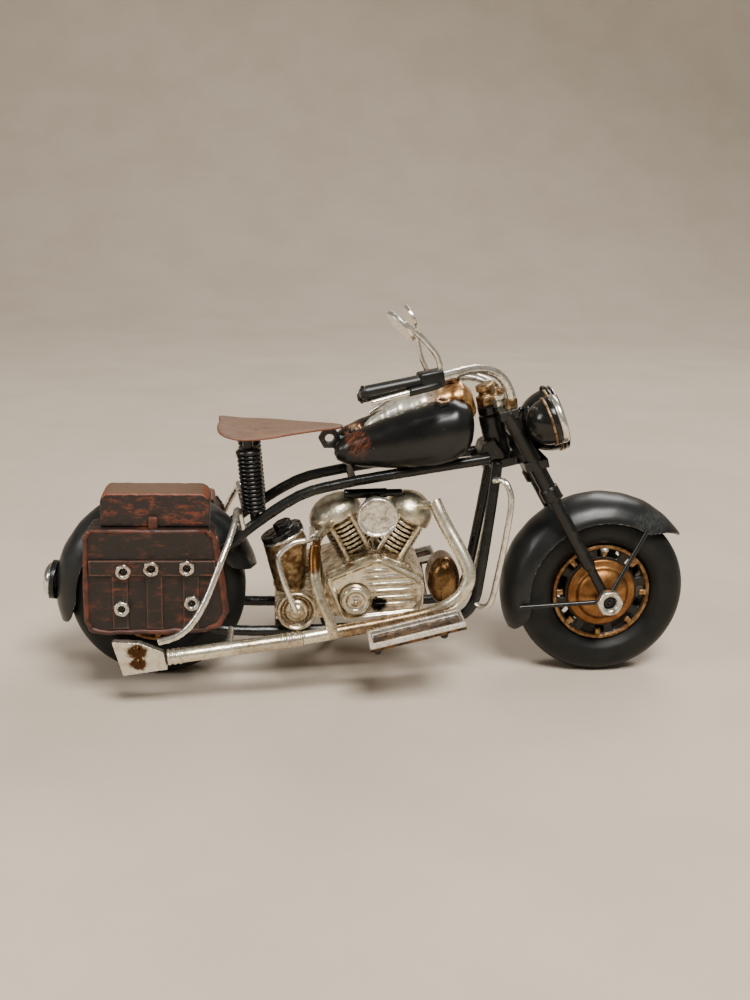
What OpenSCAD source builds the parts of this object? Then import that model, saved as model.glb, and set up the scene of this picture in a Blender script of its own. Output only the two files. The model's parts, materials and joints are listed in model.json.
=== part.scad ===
// Decorative pressed-metal motorcycle: a free-rolling display model with steering and a side stand.
// +X is forward, +Y is the rider's left, +Z is up; the wheels and the stand foot rest on z = 0.

/* [Wheels] */
// Outer radius of both tyres
tyre_r = 24; // [23.5:0.1:24.3]
// Width of a tyre
tyre_w = 15; // [13:0.5:15.5]
// Radius of the rim under the tyre
rim_r = 14; // [13.5:0.1:14.5]
// Distance between the two axles
wheelbase = 124.2; // [122:0.2:126]
// Radius of the axle pins
axle_r = 1.6; // [1.4:0.1:1.7]
// Windows in each rim face
rim_windows = 8; // [6:1:10]

/* [Frame] */
// Radius of the upper frame tubes
top_tube_r = 1.5; // [1.2:0.1:1.6]
// Radius of the cradle tubes
cradle_r = 1.5; // [1.2:0.1:1.6]
// Radius of the guard rail wire
guard_r = 0.9; // [0.7:0.1:1]

/* [Steering] */
// Backward lean of the steering stem, in degrees
head_tilt = 15; // [14:0.5:16]
// Radius of the steering stem
stem_r = 2; // [1.6:0.1:2.2]
// Half the distance between the fork legs
fork_y = 11.4; // [11.2:0.1:11.8]
// Radius of the upper fork tubes
fork_r = 2.2; // [1.9:0.1:2.3]
// Radius of the handlebar wire
bar_r = 1.35; // [1.1:0.05:1.4]

/* [Engine] */
// Fins on each cylinder
fins = 7; // [5:1:7]
// Half the angle between the two cylinders, in degrees
vee_half_angle = 29; // [28:1:31]

/* [Luggage] */
// How much lower the left saddlebag hangs
left_bag_drop = 4; // [0:0.5:4.5]
// Height of the right lid
lid_h = 9; // [6:0.2:9.6]
// Height of the left lid
left_lid_h = 3.2; // [2:0.2:3.6]

/* [Side stand] */
// Radius of the side stand wire
stand_r = 1.2; // [1:0.1:1.3]

/* [Hidden] */

$fn = 48;

// Moves the design, drawn from the middle of the wheelbase, so the overall length is centred on x = 0
centre_x = 3.7;

rear_x = -wheelbase / 2;
front_x = wheelbase / 2;
axle_z = tyre_r;
running_gap = 0.06;

// Collars on the axles that keep the wheels in the middle
collar_r = 2;
collar_in = 5.3;
collar_out = 10.3;

// Fenders share one pressed section
fender_r = 28;
fender_skirt_r = 21.3;
fender_half_w = 9.3;
fender_t = 0.8;

// Foot of the steering axis, where it meets the lower fork clamp
head = [31.5, 0, 62.3];
head_tube_l = 12;

// Centre of the fork legs' upper ends, in x and z
fork_top = [30.8, 76.6];
// Half the thickness of the eyes at their lower ends
fork_eye_t = 1.35;

// Headlight axis
lamp_tilt = 20;
lamp = [45.8, 0, 72.7];
lamp_r = 9.2;

// Posts inside the seat springs, and the side stand's hinge
seat_post_r = 1.35;
stand_pivot = [-16, 15.5, 12.2];
stand_pin_r = 1;

// Routes of the left frame tubes
top_tube = [
    [28, 5.5, 62.6], [3, 7.5, 58.8], [-13, 8, 55.8], [-24, 8.5, 52.6],
    [-36, 9.8, 44.8], [-42, 11, 39.8], [-52, 11.6, 31.5], [-59, 11.6, 26.5]
];
cradle = [
    [30.3, 5, 61.5], [28.6, 6.5, 46], [26.6, 8, 30], [25, 8.5, 22], [20.5, 9, 17.8],
    [10, 9.5, 16.3], [-28, 11.6, 15.3], [-47, 11.6, 16.2], [-59, 11.6, 21.6]
];

// Crankshaft centre, where the cylinders' axes meet, and the height of the rocker boxes above it
crank = [-3, 0, 28];
head_z = 19.2;

// Underside of the oil tank's cap
cap_foot = [-28, -6, 40.9];
cap_tilt = 24;

// Foot of the tail lamp on the rear fender, and the depth of its cup
lamp_tail = [-88.6, 0, 25.9];
tail_cup = 2.7;

// Saddlebags: inner and outer faces, wall, seam of the lid, strap band and the pouch's outline in x and z
bag_in = 13.4;
bag_out = 24;
bag_wall = 1;
bag_top = 47.6;
band_z = 35.6;
pouch = [
    [-78.8, 23], [-77.8, 20.6], [-75.6, 19.6], [-48, 20.2], [-44.4, 21.8], [-42.9, 25],
    [-45.8, 45.8], [-47.6, bag_top], [-77.4, bag_top], [-78.5, 46]
];
lid_x = -74.8;
lid_l = 27.6;

// Handlebar ends at the grips' outer ends; the left half droops
bar_right = [
    [32.2, -9.4, 76], [32.2, -9.2, 79], [31.2, -9.4, 82.4], [28.5, -10.6, 86], [24, -13, 88.2],
    [18.6, -17, 88.7], [11.2, -22, 87.6], [-8.6, -26, 84]
];
bar_left = [
    [32.2, 9.4, 76], [31.6, 9.8, 78.6], [29.2, 11.4, 80.8], [25.4, 14.6, 81.6], [20.8, 18.6, 80.6],
    [14.8, 22.6, 78.2], [-4.8, 26.6, 73.1]
];

// ---- shared shapes ----

function unit(v) = v / norm(v);
function mirror_y(route) = [for (p = route) [p.x, -p.y, p.z]];

// Point on a smooth curve between b and c, with a and d as the neighbours
function curve_point(a, b, c, d, t) =
    (2 * b + (c - a) * t + (2 * a - 5 * b + 4 * c - d) * t * t
        + (3 * b - a - 3 * c + d) * t * t * t) / 2;

// Smooth route through the given points, n steps from each to the next
function smooth(p, n) = [
    for (i = [0 : len(p) - 2], s = [0 : n - 1])
        curve_point(p[max(i - 1, 0)], p[i], p[i + 1], p[min(i + 2, len(p) - 1)], s / n),
    p[len(p) - 1]
];

function heading(q, i) = unit(q[min(i + 1, len(q) - 1)] - q[max(i - 1, 0)]);

// Direction square to the route, carried along it without twist
function across(q, i) = i == 0
    ? unit(cross(heading(q, 0), abs(heading(q, 0).z) < 0.8 ? [0, 0, 1] : [0, 1, 0]))
    : let (h = heading(q, i), s = across(q, i - 1)) unit(s - (s * h) * h);

// Round wire or pipe bent along a route
module wire(route, r, n = 3, sides = 10) {
    q = smooth(route, n);
    last = len(q) - 1;
    points = [
        for (i = [0 : last])
            let (h = heading(q, i), s = across(q, i), u = cross(h, s))
                for (k = [0 : sides - 1])
                    q[i] + r * (cos(360 * k / sides) * s + sin(360 * k / sides) * u)
    ];
    walls = [
        for (i = [0 : last - 1], k = [0 : sides - 1])
            let (a = i * sides + k, b = i * sides + (k + 1) % sides)
                [a, a + sides, b + sides, b]
    ];
    start = [for (k = [0 : sides - 1]) k];
    end = [for (k = [sides - 1 : -1 : 0]) last * sides + k];
    polyhedron(points, concat([start, end], walls), convexity = 6);
}

// Straight round rod from a to b
module rod(a, b, r) {
    d = b - a;
    translate(a)
        rotate([0, acos(d.z / norm(d)), atan2(d.y, d.x)])
            cylinder(h = norm(d), r = r);
}

// Cylinder along Y from y0 to y1
module disc_y(x, z, r, y0, y1) {
    translate([x, y0, z]) rotate([-90, 0, 0]) cylinder(h = y1 - y0, r = r);
}

// Solid of revolution about a line along Y; the outline is [radius, y]
module lathe_y(x, z, outline) {
    translate([x, 0, z]) rotate([-90, 0, 0]) rotate_extrude($fn = 96) polygon(outline);
}

// Places its children on both sides of the bike
module both_sides() {
    children();
    mirror([0, 1, 0]) children();
}

module bike() {
    translate([centre_x, 0, 0]) children();
}

// Frame of the steering stem: z runs up the stem from its foot
module on_stem() {
    translate(head) rotate([0, -head_tilt, 0]) children();
}

// Frame of the headlight: z runs forward out of the lens
module on_lamp() {
    translate(lamp) rotate([0, 90 - lamp_tilt, 0]) children();
}

// Upright plate seen from the side: outline in x and z, between two y planes
module side_plate(outline, y0, y1) {
    translate([0, y1, 0]) rotate([90, 0, 0]) linear_extrude(y1 - y0) polygon(outline);
}

// ---- wheels ----

// Balloon tyre: a squashed round section with a narrow flat tread
function tyre_section(steps = 28) = [
    for (i = [0 : steps - 1])
        let (a = 360 * i / steps, mid = (tyre_r + rim_r) / 2 - 0.2, half = tyre_r - mid + 0.35)
            [
                min(tyre_r, max(rim_r, mid + half * sign(cos(a)) * pow(abs(cos(a)), 0.8))),
                tyre_w / 2 * sign(sin(a)) * pow(abs(sin(a)), 0.8)
            ]
];

module tyre(x) {
    lathe_y(x, axle_z, tyre_section());
}

module rim(x) {
    difference() {
        lathe_y(x, axle_z, [
            [axle_r + running_gap, -5], [10.2, -5], [12.9, -5], [12.9, -5.6], [rim_r, -5.6],
            [rim_r, 5.6], [12.9, 5.6], [12.9, 5], [10.2, 5], [axle_r + running_gap, 5],
            [axle_r + running_gap, 4], [12.6, 4], [12.6, -4], [axle_r + running_gap, -4]
        ]);
        for (k = [0 : rim_windows - 1])
            translate([x, 0, axle_z]) rotate([90, 360 * (k + 0.5) / rim_windows, 0])
                translate([0, 0, -6]) rotate_extrude(angle = 250 / rim_windows)
                    translate([10.4, 0]) square([2, 12]);
    }
    lathe_y(x, axle_z, [
        [axle_r + running_gap, -4.2], [4, -4.2], [4, 4.2], [axle_r + running_gap, 4.2]
    ]);
}

// Pressed hub covers, a shallow disc with a bowl in its middle
module hub_caps(x) {
    both_sides()
        lathe_y(x, axle_z, concat(
            [[2.4, 5.05], [9.7, 5.05], [9.7, 5.7], [7.6, 6.1]],
            [for (a = [10 : 10 : 70]) [7.4 * cos(a), 6 + 3.3 * sin(a)]],
            [[2.4, 9.2]]
        ));
}

module rear_tyre() { color([0.06, 0.06, 0.06]) bike() tyre(rear_x); }
module rear_rim() { color([0.5, 0.32, 0.16]) bike() rim(rear_x); }
module rear_hub_caps() { color([0.55, 0.33, 0.15]) bike() hub_caps(rear_x); }
module front_tyre() { color([0.06, 0.06, 0.06]) bike() tyre(front_x); }
module front_rim() { color([0.5, 0.32, 0.16]) bike() rim(front_x); }
module front_hub_caps() { color([0.55, 0.33, 0.15]) bike() hub_caps(front_x); }

// ---- fenders ----

// Half-round section of a fender, as [radius, y], at a depth below the outer skin
function fender_arc(depth, steps = 8) = [
    for (i = [-steps : steps])
        let (a = 90 * i / steps)
            [fender_skirt_r + (fender_r - depth - fender_skirt_r) * cos(a),
                (fender_half_w - depth) * sin(a)]
];

// Pressed fender round a wheel, between two angles counted up from the front
module fender(x, from, to) {
    inner = fender_arc(fender_t);
    translate([x, 0, axle_z]) rotate([90, -from, 0])
        rotate_extrude(angle = to - from, $fn = 120)
            polygon(concat(fender_arc(0), [for (i = [len(inner) - 1 : -1 : 0]) inner[i]]));
}

module rear_fender() { color([0.1, 0.11, 0.11]) bike() fender(rear_x, 13, 202); }
module front_fender() { color([0.1, 0.11, 0.11]) bike() fender(front_x, 34, 206); }

// ---- frame ----

module head_lug() {
    color([0.07, 0.07, 0.07]) bike() {
        on_stem() difference() {
            cylinder(h = head_tube_l, r = 3.4);
            translate([0, 0, -1]) cylinder(h = head_tube_l + 2, r = stem_r + running_gap);
        }
        // Gusset that takes the frame tubes
        difference() {
            side_plate([[24, 59.5], [31, 60], [32.5, 63.5], [29, 68], [26, 66]], -4.5, 4.5);
            on_stem() translate([0, 0, -9]) cylinder(h = head_tube_l + 12, r = 3.4);
            on_stem() translate([-12, -8, -8]) cube([24, 16, 8]);
        }
    }
}

module top_tubes() {
    color([0.07, 0.07, 0.07]) bike() {
        wire(top_tube, top_tube_r);
        wire(mirror_y(top_tube), top_tube_r);
    }
}

module cradle_tubes() {
    color([0.07, 0.07, 0.07]) bike() {
        wire(cradle, cradle_r);
        wire(mirror_y(cradle), cradle_r);
    }
}

// Rear axle plates, the brace between the chain stays and the side stand's clevis
module frame_plates() {
    plate_y = 10.3;
    color([0.08, 0.08, 0.08]) bike() {
        both_sides() difference() {
            disc_y(rear_x, axle_z, 4.6, plate_y, plate_y + 1.4);
            disc_y(rear_x, axle_z, axle_r, plate_y - 1, plate_y + 3);
        }
        translate([-30, -12, 14.2]) cube([2, 24, 2.2]);
        for (y = [13.1, 16.9]) difference() {
            union() {
                disc_y(stand_pivot.x, stand_pivot.z, 2.6, y, y + 1);
                translate([stand_pivot.x - 2.6, y, stand_pivot.z]) cube([5.2, 1, 4.4]);
            }
            disc_y(stand_pivot.x, stand_pivot.z, stand_pin_r, y - 1, y + 2);
        }
        translate([stand_pivot.x - 2.6, 11, stand_pivot.z + 3]) cube([5.2, 6.9, 1.4]);
        disc_y(stand_pivot.x, stand_pivot.z, stand_pin_r, 13.1, 17.9);
    }
}

// Cross bars under the seat and the tank, the seat posts, and the pegs behind the bags and at the seat nut
module cross_bars() {
    color([0.08, 0.08, 0.08]) bike() {
        for (bar = [[-35.5, 9.5, 45.6], [-9.5, 7.6, 56.7], [14, 6.5, 60.4]])
            disc_y(bar.x, bar.z, 1.1, -bar.y, bar.y);
        both_sides() {
            rod([-35.5, 8, 45.6], [-37.9, 8, 69.4], seat_post_r);
            disc_y(-52, 31.5, 1, 12, 13.8);
            disc_y(-47, 16.4, 1, 12, 13.3);
        }
        // Peg between the tail of the tank and the seat nut
        rod([-13.2, 0, 66.6], [-8.8, 0, 65.6], 0.9);
    }
}

module rear_axle() {
    color([0.6, 0.6, 0.58]) bike() {
        disc_y(rear_x, axle_z, axle_r, -12.9, 12.9);
        both_sides() {
            disc_y(rear_x, axle_z, collar_r, collar_in, collar_out);
            translate([rear_x, 11.7, axle_z]) rotate([-90, 0, 0]) cylinder(h = 1.3, r = 3.2, $fn = 6);
        }
    }
}

// ---- seat ----

module seat_springs() {
    turns = 15;
    pitch = 1.05;
    ripple = [
        for (i = [0 : turns - 1])
            each [[2.5, i * pitch], [3.25, (i + 0.25) * pitch], [3.25, (i + 0.75) * pitch]]
    ];
    color([0.05, 0.05, 0.05]) bike() both_sides()
        translate([-35.75, 8, 47.6]) rotate([0, -5.8, 0])
            rotate_extrude() polygon(concat(
                [[seat_post_r + 0.15, 0]], ripple,
                [[2.5, turns * pitch], [seat_post_r + 0.15, turns * pitch]]
            ));
}

module seat_pan() {
    half = [
        [-12, 0], [-13, 2.2], [-18.5, 4.6], [-26, 8.6], [-31, 11.6], [-36, 13.3],
        [-41, 13.6], [-44.6, 11.6], [-45.7, 7], [-45.2, 0]
    ];
    color([0.45, 0.22, 0.12]) bike() translate([0, 0, 69.4])
        linear_extrude(0.9) polygon(concat(
            half, [for (i = [len(half) - 2 : -1 : 1]) [half[i].x, -half[i].y]]
        ));
}

module seat_nut() {
    color([0.05, 0.05, 0.05]) bike() translate([-15.6, 0, 66.74]) difference() {
        rotate([90, 0, 0]) cylinder(h = 2.4, r = 3.05, $fn = 6, center = true);
        rotate([90, 0, 0]) cylinder(h = 4, r = 1.25, center = true);
    }
}

// ---- tank ----

// One pressed half of the tank: a deep round nose and a low narrow tail
module tank_lobe(wall = 0) {
    hull() {
        translate([12.6, -6.8, 70]) scale([10 - wall, 7.8 - wall, 9.1 - wall]) sphere(1, $fn = 32);
        translate([-9.4, -5, 64.1]) scale([5.1 - wall, 4.8 - wall, 3.8 - wall]) sphere(1, $fn = 32);
    }
}

module tank_shells() {
    color([0.06, 0.06, 0.06]) bike() both_sides() difference() {
        tank_lobe();
        translate([-20, -0.1, 55]) cube([50, 10, 35]);
        difference() {
            tank_lobe(1);
            translate([-20, -1.1, 55]) cube([50, 10, 35]);
        }
    }
}

// Raised strip along the seam between the halves
module tank_spine() {
    color([0.75, 0.68, 0.55]) bike() difference() {
        hull() {
            translate([2.6, 0, 72]) sphere(3.8, $fn = 32);
            translate([9, 0, 74.6]) sphere(5.2, $fn = 32);
            translate([17.6, 0, 77.2]) sphere(6.3, $fn = 32);
        }
        both_sides() tank_lobe();
    }
}

module tank_caps() {
    color([0.5, 0.36, 0.2]) bike() {
        both_sides() translate([13.6, -8.6, 77.2]) rotate([12, 0, 0]) cylinder(h = 2.2, r = 2.2);
        translate([17.2, 0, 83]) cylinder(h = 2, r = 2.3);
        translate([-8.4, -3, 66.9]) cylinder(h = 4.2, r = 1.9);
    }
}

// ---- engine ----

// Frame of one cylinder: z runs up the bore from the crankshaft
module on_cylinder(lean) {
    translate(crank) rotate([0, lean, 0]) children();
}

module crankcase() {
    color([0.62, 0.55, 0.42]) bike() {
        side_plate([
            [-17, 19.3], [10.2, 20.6], [10.4, 31.6], [5.5, 34.4], [-3, 37.6], [-11.5, 34.4], [-17, 31.6]
        ], -11.8, 11.8);
        // Gearbox behind the engine
        side_plate([[-30, 18.5], [-17, 19], [-17, 25.5], [-22, 25], [-30, 23.5]], -12, 8);
    }
}

module cylinders() {
    barrel_r = 4.4;
    fin_r = 6;
    fin_t = 0.8;
    color([0.6, 0.52, 0.38]) bike() for (lean = [-vee_half_angle, vee_half_angle])
        on_cylinder(lean) rotate_extrude() polygon(concat(
            [[0, 8], [barrel_r, 8]],
            [for (i = [0 : fins - 1])
                let (z = 9.6 + 1.3 * i)
                    each [[barrel_r, z], [fin_r, z], [fin_r, z + fin_t], [barrel_r, z + fin_t]]],
            [[barrel_r, head_z], [0, head_z]]
        ));
}

module rocker_boxes() {
    color([0.75, 0.72, 0.65]) bike() {
        // The rear dome is broader and flatter
        on_cylinder(-vee_half_angle) translate([-0.9, 0, head_z]) scale([1.14, 1, 0.9]) rocker_dome();
        on_cylinder(vee_half_angle) translate([0, 0, head_z]) rocker_dome();
    }
}

module rocker_dome() {
    rotate_extrude() polygon(concat(
        [[0, 0], [6.7, 0], [6.7, 1.2]],
        [for (a = [10 : 10 : 80]) [6.7 * cos(a), 1.2 + 6.2 * sin(a)]],
        [[0, 7.4]]
    ));
}

module pushrod_tubes() {
    color([0.72, 0.7, 0.64]) bike() for (lean = [-vee_half_angle, vee_half_angle], dx = [-3.2, 3.2])
        on_cylinder(lean) translate([dx, -6.1, 7]) cylinder(h = head_z - 6.4, r = 0.7);
}

module air_cleaner() {
    color([0.8, 0.78, 0.72]) bike() lathe_y(-3.3, 48.9, [
        [0, -17.2], [4, -17.2], [4.6, -16.7], [5.4, -16.7], [5.4, -14.2], [3, -13.8], [3, -4.5], [0, -4.5]
    ]);
}

module ignition_coil() {
    color([0.05, 0.05, 0.05]) bike() {
        rod([-11.4, -2, 51.4], [0.4, -2, 51.9], 1.35);
        rod([0.4, -2, 51.9], [4.6, -2, 52], 1.05);
    }
}

module gearcase_cover() {
    color([0.78, 0.75, 0.68]) bike() {
        side_plate([[-16.9, 31.2], [-2.6, 37.4], [10.3, 30.9], [10, 21.8], [-11.8, 19.4]], -15.4, -11.8);
        for (i = [0 : 5])
            translate([-1.2 + i * 0.4, -16, 22.4 + i * 2.1]) rotate([0, -6, 0])
                cube([9.5 - i * 1.1, 0.8, 0.9]);
        disc_y(-8.6, 25.8, 3.8, -17.8, -15.3);
    }
}

module generator() {
    mid_x = 15.3;
    color([0.5, 0.34, 0.18]) bike() {
        hull() for (z = [27.2, 33]) disc_y(mid_x, z, 4.8, -12.4, -3.4);
        hull() for (z = [28.4, 31.8]) disc_y(mid_x, z, 3, -13.6, -12.3);
        // Saddle that ties it to the crankcase
        translate([9.6, -6, 24]) cube([6, 10, 3]);
    }
}

module oil_tank() {
    neck = [-27.45, -6, 39.1];
    color([0.5, 0.38, 0.22]) bike() {
        translate([-25.8, -6, 25.7]) rotate([0, -7, 0]) cylinder(h = 13.5, r1 = 4, r2 = 6);
        // Wedge under the tilted cap
        hull() {
            translate(neck) rotate([0, -7, 0]) cylinder(h = 0.1, r = 6, center = true);
            translate(cap_foot) rotate([0, -cap_tilt, 0]) translate([0, 0, -0.1]) cylinder(h = 0.1, r = 5.5);
        }
    }
}

module oil_cap() {
    color([0.05, 0.05, 0.05]) bike() translate(cap_foot) rotate([0, -cap_tilt, 0]) {
        cylinder(h = 1.8, r = 5.9);
        translate([1, 0, 1.8]) cylinder(h = 2, r = 2.6, $fn = 6);
    }
}

module kick_gear() {
    color([0.7, 0.62, 0.48]) bike() lathe_y(-24.3, 22.6, [
        [0, -17.6], [1.8, -17.6], [1.8, -16.6], [4.2, -16.2], [4.6, -16.8], [5.3, -16.6], [5.3, -14.4],
        [2, -14.4], [2, -12], [0, -12]
    ]);
}

module oil_pipe() {
    color([0.8, 0.8, 0.76]) bike() wire([
        [-20.2, -12.2, 42.4], [-21.4, -14.5, 42.1], [-25.6, -15.6, 41.5], [-29.3, -16.6, 38.4],
        [-28.9, -17.4, 34.5], [-27.3, -18, 30], [-24.6, -18.4, 23.2]
    ], 0.85);
    color([0.8, 0.8, 0.76]) bike() rod([-20.2, -5.2, 42.6], [-20.2, -12.6, 42.3], 0.85);
}

// Chain case on the left of the engine
module primary_cover() {
    color([0.66, 0.6, 0.48]) bike() {
        side_plate([
            [-30.5, 20], [-27, 17.2], [-1, 18.2], [6, 20.5], [9, 25], [8.5, 31], [3, 35], [-3, 36],
            [-8, 33.5], [-24, 28.5], [-29.5, 26]
        ], 11.8, 17);
        disc_y(-22, 22.8, 4.4, 16.9, 19);
        disc_y(-1.5, 27.2, 6.2, 16.9, 18.6);
    }
}

// ---- exhaust, footboards and guards ----

module exhaust_headers() {
    color([0.78, 0.74, 0.64]) bike() {
        wire([
            [9.6, -5, 49.2], [12.2, -11, 51.4], [15.6, -16, 45.7], [18.9, -19, 40.2], [20.8, -21, 35.9],
            [20.6, -22, 32.2], [18, -21.8, 28], [12, -21.2, 24.3], [0, -21.4, 21.4], [-12, -21.9, 19.2],
            [-23, -23.6, 17.8]
        ], 1.5);
        wire([
            [-14.6, -5.5, 44.4], [-18.6, -12, 42], [-20, -16, 37.5], [-19.7, -19.6, 33], [-18.2, -21.2, 28],
            [-15.9, -22, 23], [-14.3, -21.9, 19.4]
        ], 1.3);
    }
}

module silencer() {
    inlet = [-23, -23.6, 17.8];
    outlet = [-58, -27, 14.1];
    run = outlet - inlet;
    color([0.78, 0.74, 0.62]) bike() {
        rod(inlet, outlet, 1.95);
        for (t = [0.02, 0.06, 0.1, 0.14, 0.9, 0.94, 0.98])
            rod(inlet + run * t, inlet + run * (t + 0.015), 2.15);
        // Hanger to the chain stay
        rod([-42, -11.6, 16], [-42, -25.2, 15.8], 0.9);
    }
}

module fishtail() {
    color([0.8, 0.76, 0.64]) bike() {
        side_plate([
            [-72, 18.8], [-65, 18.5], [-58.8, 15.9], [-57.8, 11.2], [-69.2, 9.4]
        ], -28.2, -25.8);
        for (z = [16.6, 13.1]) disc_y(-65.6, z, 0.9, -28.8, -28.1);
    }
}

// Tray with a raised lip, on two arms from the cradle
module footboards() {
    pitch = 14.5;
    board_w = 10;
    board_l = 25.6;
    color([0.78, 0.77, 0.72]) bike() both_sides() {
        translate([-5.6, -33, 17.4]) rotate([0, -pitch, 0]) difference() {
            cube([board_l, board_w, 2.2]);
            translate([1, 1, 0.9]) cube([board_l - 2, board_w - 2, 2]);
        }
        for (x = [-1, 14]) let (z = 17.6 + (x + 5.6) * tan(pitch)) {
            rod([x, -9.4, 16.4], [x, -26.5, z], 0.9);
            translate([x, -28, z - 1.2]) cylinder(h = 1.4, r = 1.3);
        }
    }
}

module front_guards() {
    color([0.82, 0.82, 0.78]) bike() {
        guard = [
            [28.9, -8, 57], [31, -10, 57.6], [32.5, -11.6, 55.6], [33.1, -12.4, 51.5], [32, -13, 42],
            [29.8, -13, 27.4], [28.6, -12.4, 22.8], [26.8, -10.5, 21.6], [25.4, -9, 22.2]
        ];
        wire(guard, guard_r);
        wire(mirror_y(guard), guard_r);
    }
}

module rear_guards() {
    color([0.82, 0.8, 0.72]) bike() {
        guard = [
            [-39.8, -11, 48.6], [-40.4, -13.5, 50], [-40.6, -16.5, 49], [-41.4, -20.5, 46.2],
            [-44.2, -26.5, 39.6], [-48, -30, 30.4], [-51.6, -31, 24.6], [-55.4, -31.6, 21.6],
            [-59.8, -31.6, 20.2]
        ];
        wire(guard, guard_r);
        wire(mirror_y(guard), guard_r);
        // Feet that reach the frame tubes
        both_sides() rod([-38.6, -10.4, 43], [-39.8, -11, 48.6], guard_r);
    }
}

// ---- tail lamp ----

module tail_lamp() {
    color([0.05, 0.05, 0.05]) bike() difference() {
        translate(lamp_tail) rotate([0, -84, 0]) cylinder(h = tail_cup, r = 5.4);
        disc_y(rear_x, axle_z, fender_r, -10, 10);
    }
}

module tail_lens() {
    dome = 2.3;
    color([0.8, 0.8, 0.78]) bike()
        translate(lamp_tail) rotate([0, -84, 0]) translate([0, 0, tail_cup])
            rotate_extrude() polygon(concat(
                [[0, 0]], [for (a = [0 : 15 : 75]) [4.7 * cos(a), dome * sin(a)]], [[0, dome]]
            ));
}

// ---- luggage ----

// Draws the right bag's pieces, and the left bag's pieces lower down
module both_bags() {
    mirror([0, 1, 0]) children();
    translate([0, 0, -left_bag_drop]) children();
}

// Plate with rounded upper corners, seen from the side
module lid_plate(x, z, l, h, r, y0, y1) {
    translate([x, y0, z]) cube([l, y1 - y0, h - r]);
    translate([x + r, y0, z]) cube([l - 2 * r, y1 - y0, h]);
    for (cx = [x + r, x + l - r]) disc_y(cx, z + h - r, r, y0, y1);
}

module saddlebags() {
    middle = [-61, 33.6];
    color([0.2, 0.09, 0.06]) bike() both_bags() difference() {
        side_plate(pouch, bag_in, bag_out);
        side_plate([for (p = pouch) middle + 0.93 * (p - middle)], bag_in + bag_wall, bag_out - bag_wall);
    }
}

module bag_lids() {
    color([0.35, 0.14, 0.08]) bike() {
        mirror([0, 1, 0]) lid_plate(lid_x, bag_top, lid_l, lid_h, 2.4, 10.2, 21.6);
        translate([0, 0, -left_bag_drop])
            lid_plate(lid_x, bag_top, lid_l, left_lid_h, 1.4, 10.2, 21.6);
    }
}

module bag_straps() {
    color([0.22, 0.08, 0.05]) bike() both_bags() {
        translate([-77.6, bag_out, band_z]) cube([32, 0.9, 4]);
        for (x = [-71.9, -63.2, -53.9])
            translate([x, bag_out, 21]) cube([4.1, 0.6, band_z - 21]);
    }
}

module bag_buckles() {
    upper = [[-68.8, 37], [-61.8, 37.8], [-52.8, 38]];
    lower = [[-69.4, 26.9], [-51.6, 28.4]];
    color([0.7, 0.66, 0.55]) bike() both_bags() {
        for (p = upper) buckle(p, bag_out + 0.9);
        for (p = lower) buckle(p, bag_out + 0.6);
    }
}

// Small nut used as a buckle
module buckle(place, y) {
    translate([place.x, y, place.y]) rotate([-90, 0, 0]) difference() {
        cylinder(h = 1.5, r = 2.15, $fn = 6);
        translate([0, 0, 0.4]) cylinder(h = 2, r = 1.05);
    }
}

// ---- side stand ----

module side_stand() {
    color([0.08, 0.08, 0.08]) bike() {
        difference() {
            disc_y(stand_pivot.x, stand_pivot.z, 2.3, 14.4, 16.6);
            disc_y(stand_pivot.x, stand_pivot.z, stand_pin_r + running_gap, 14, 17);
        }
        difference() {
            wire([
                [-15.6, 15.5, 11], [-15, 15.5, 7.6], [-13.9, 17, 6], [-12.4, 20.4, 4.2], [-11, 24, 1.6],
                [-10.8, 26.6, 1.2]
            ], stand_r);
            disc_y(stand_pivot.x, stand_pivot.z, 2.2, 12, 19);
        }
        // Foot pad
        translate([-13.6, 24, 0]) cube([5.6, 5, 1.3]);
    }
}

// ---- steering ----

module steering_stem() {
    color([0.3, 0.24, 0.16]) bike() on_stem() {
        translate([0, 0, -3.2]) cylinder(h = head_tube_l + 11.8, r = stem_r);
        translate([0, 0, head_tube_l + 2.9]) cylinder(h = 2.6, r = 3.1, $fn = 6);
        translate([0, 0, head_tube_l + 6.8]) cylinder(h = 1.6, r = 2.5);
    }
}

// Clamp plate on the stem: a round boss, a web and a bar between x0 and x1 that reaches both legs
module fork_clamp(z, x0, x1, t) {
    boss_r = 3.2;
    half_w = fork_y + 2;
    translate([0, 0, z]) difference() {
        union() {
            cylinder(h = t, r = boss_r);
            translate([0, -boss_r, 0]) cube([x1, 2 * boss_r, t]);
            translate([x0, -half_w, 0]) cube([x1 - x0, 2 * half_w, t]);
        }
        translate([0, 0, -1]) cylinder(h = t + 2, r = stem_r);
    }
}

module fork_clamps() {
    lamp_bar = [35.6, 0, 68];
    color([0.06, 0.06, 0.06]) bike() {
        on_stem() {
            fork_clamp(-3, 4.4, 10.9, 2.6);
            fork_clamp(head_tube_l + 0.3, 0.6, 5.8, 2.5);
        }
        // Bar and arm that carry the headlight
        disc_y(lamp_bar.x, lamp_bar.z, 1, -fork_y, fork_y);
        rod(lamp_bar, [38.4, 0, 70], 1.4);
    }
}

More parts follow.
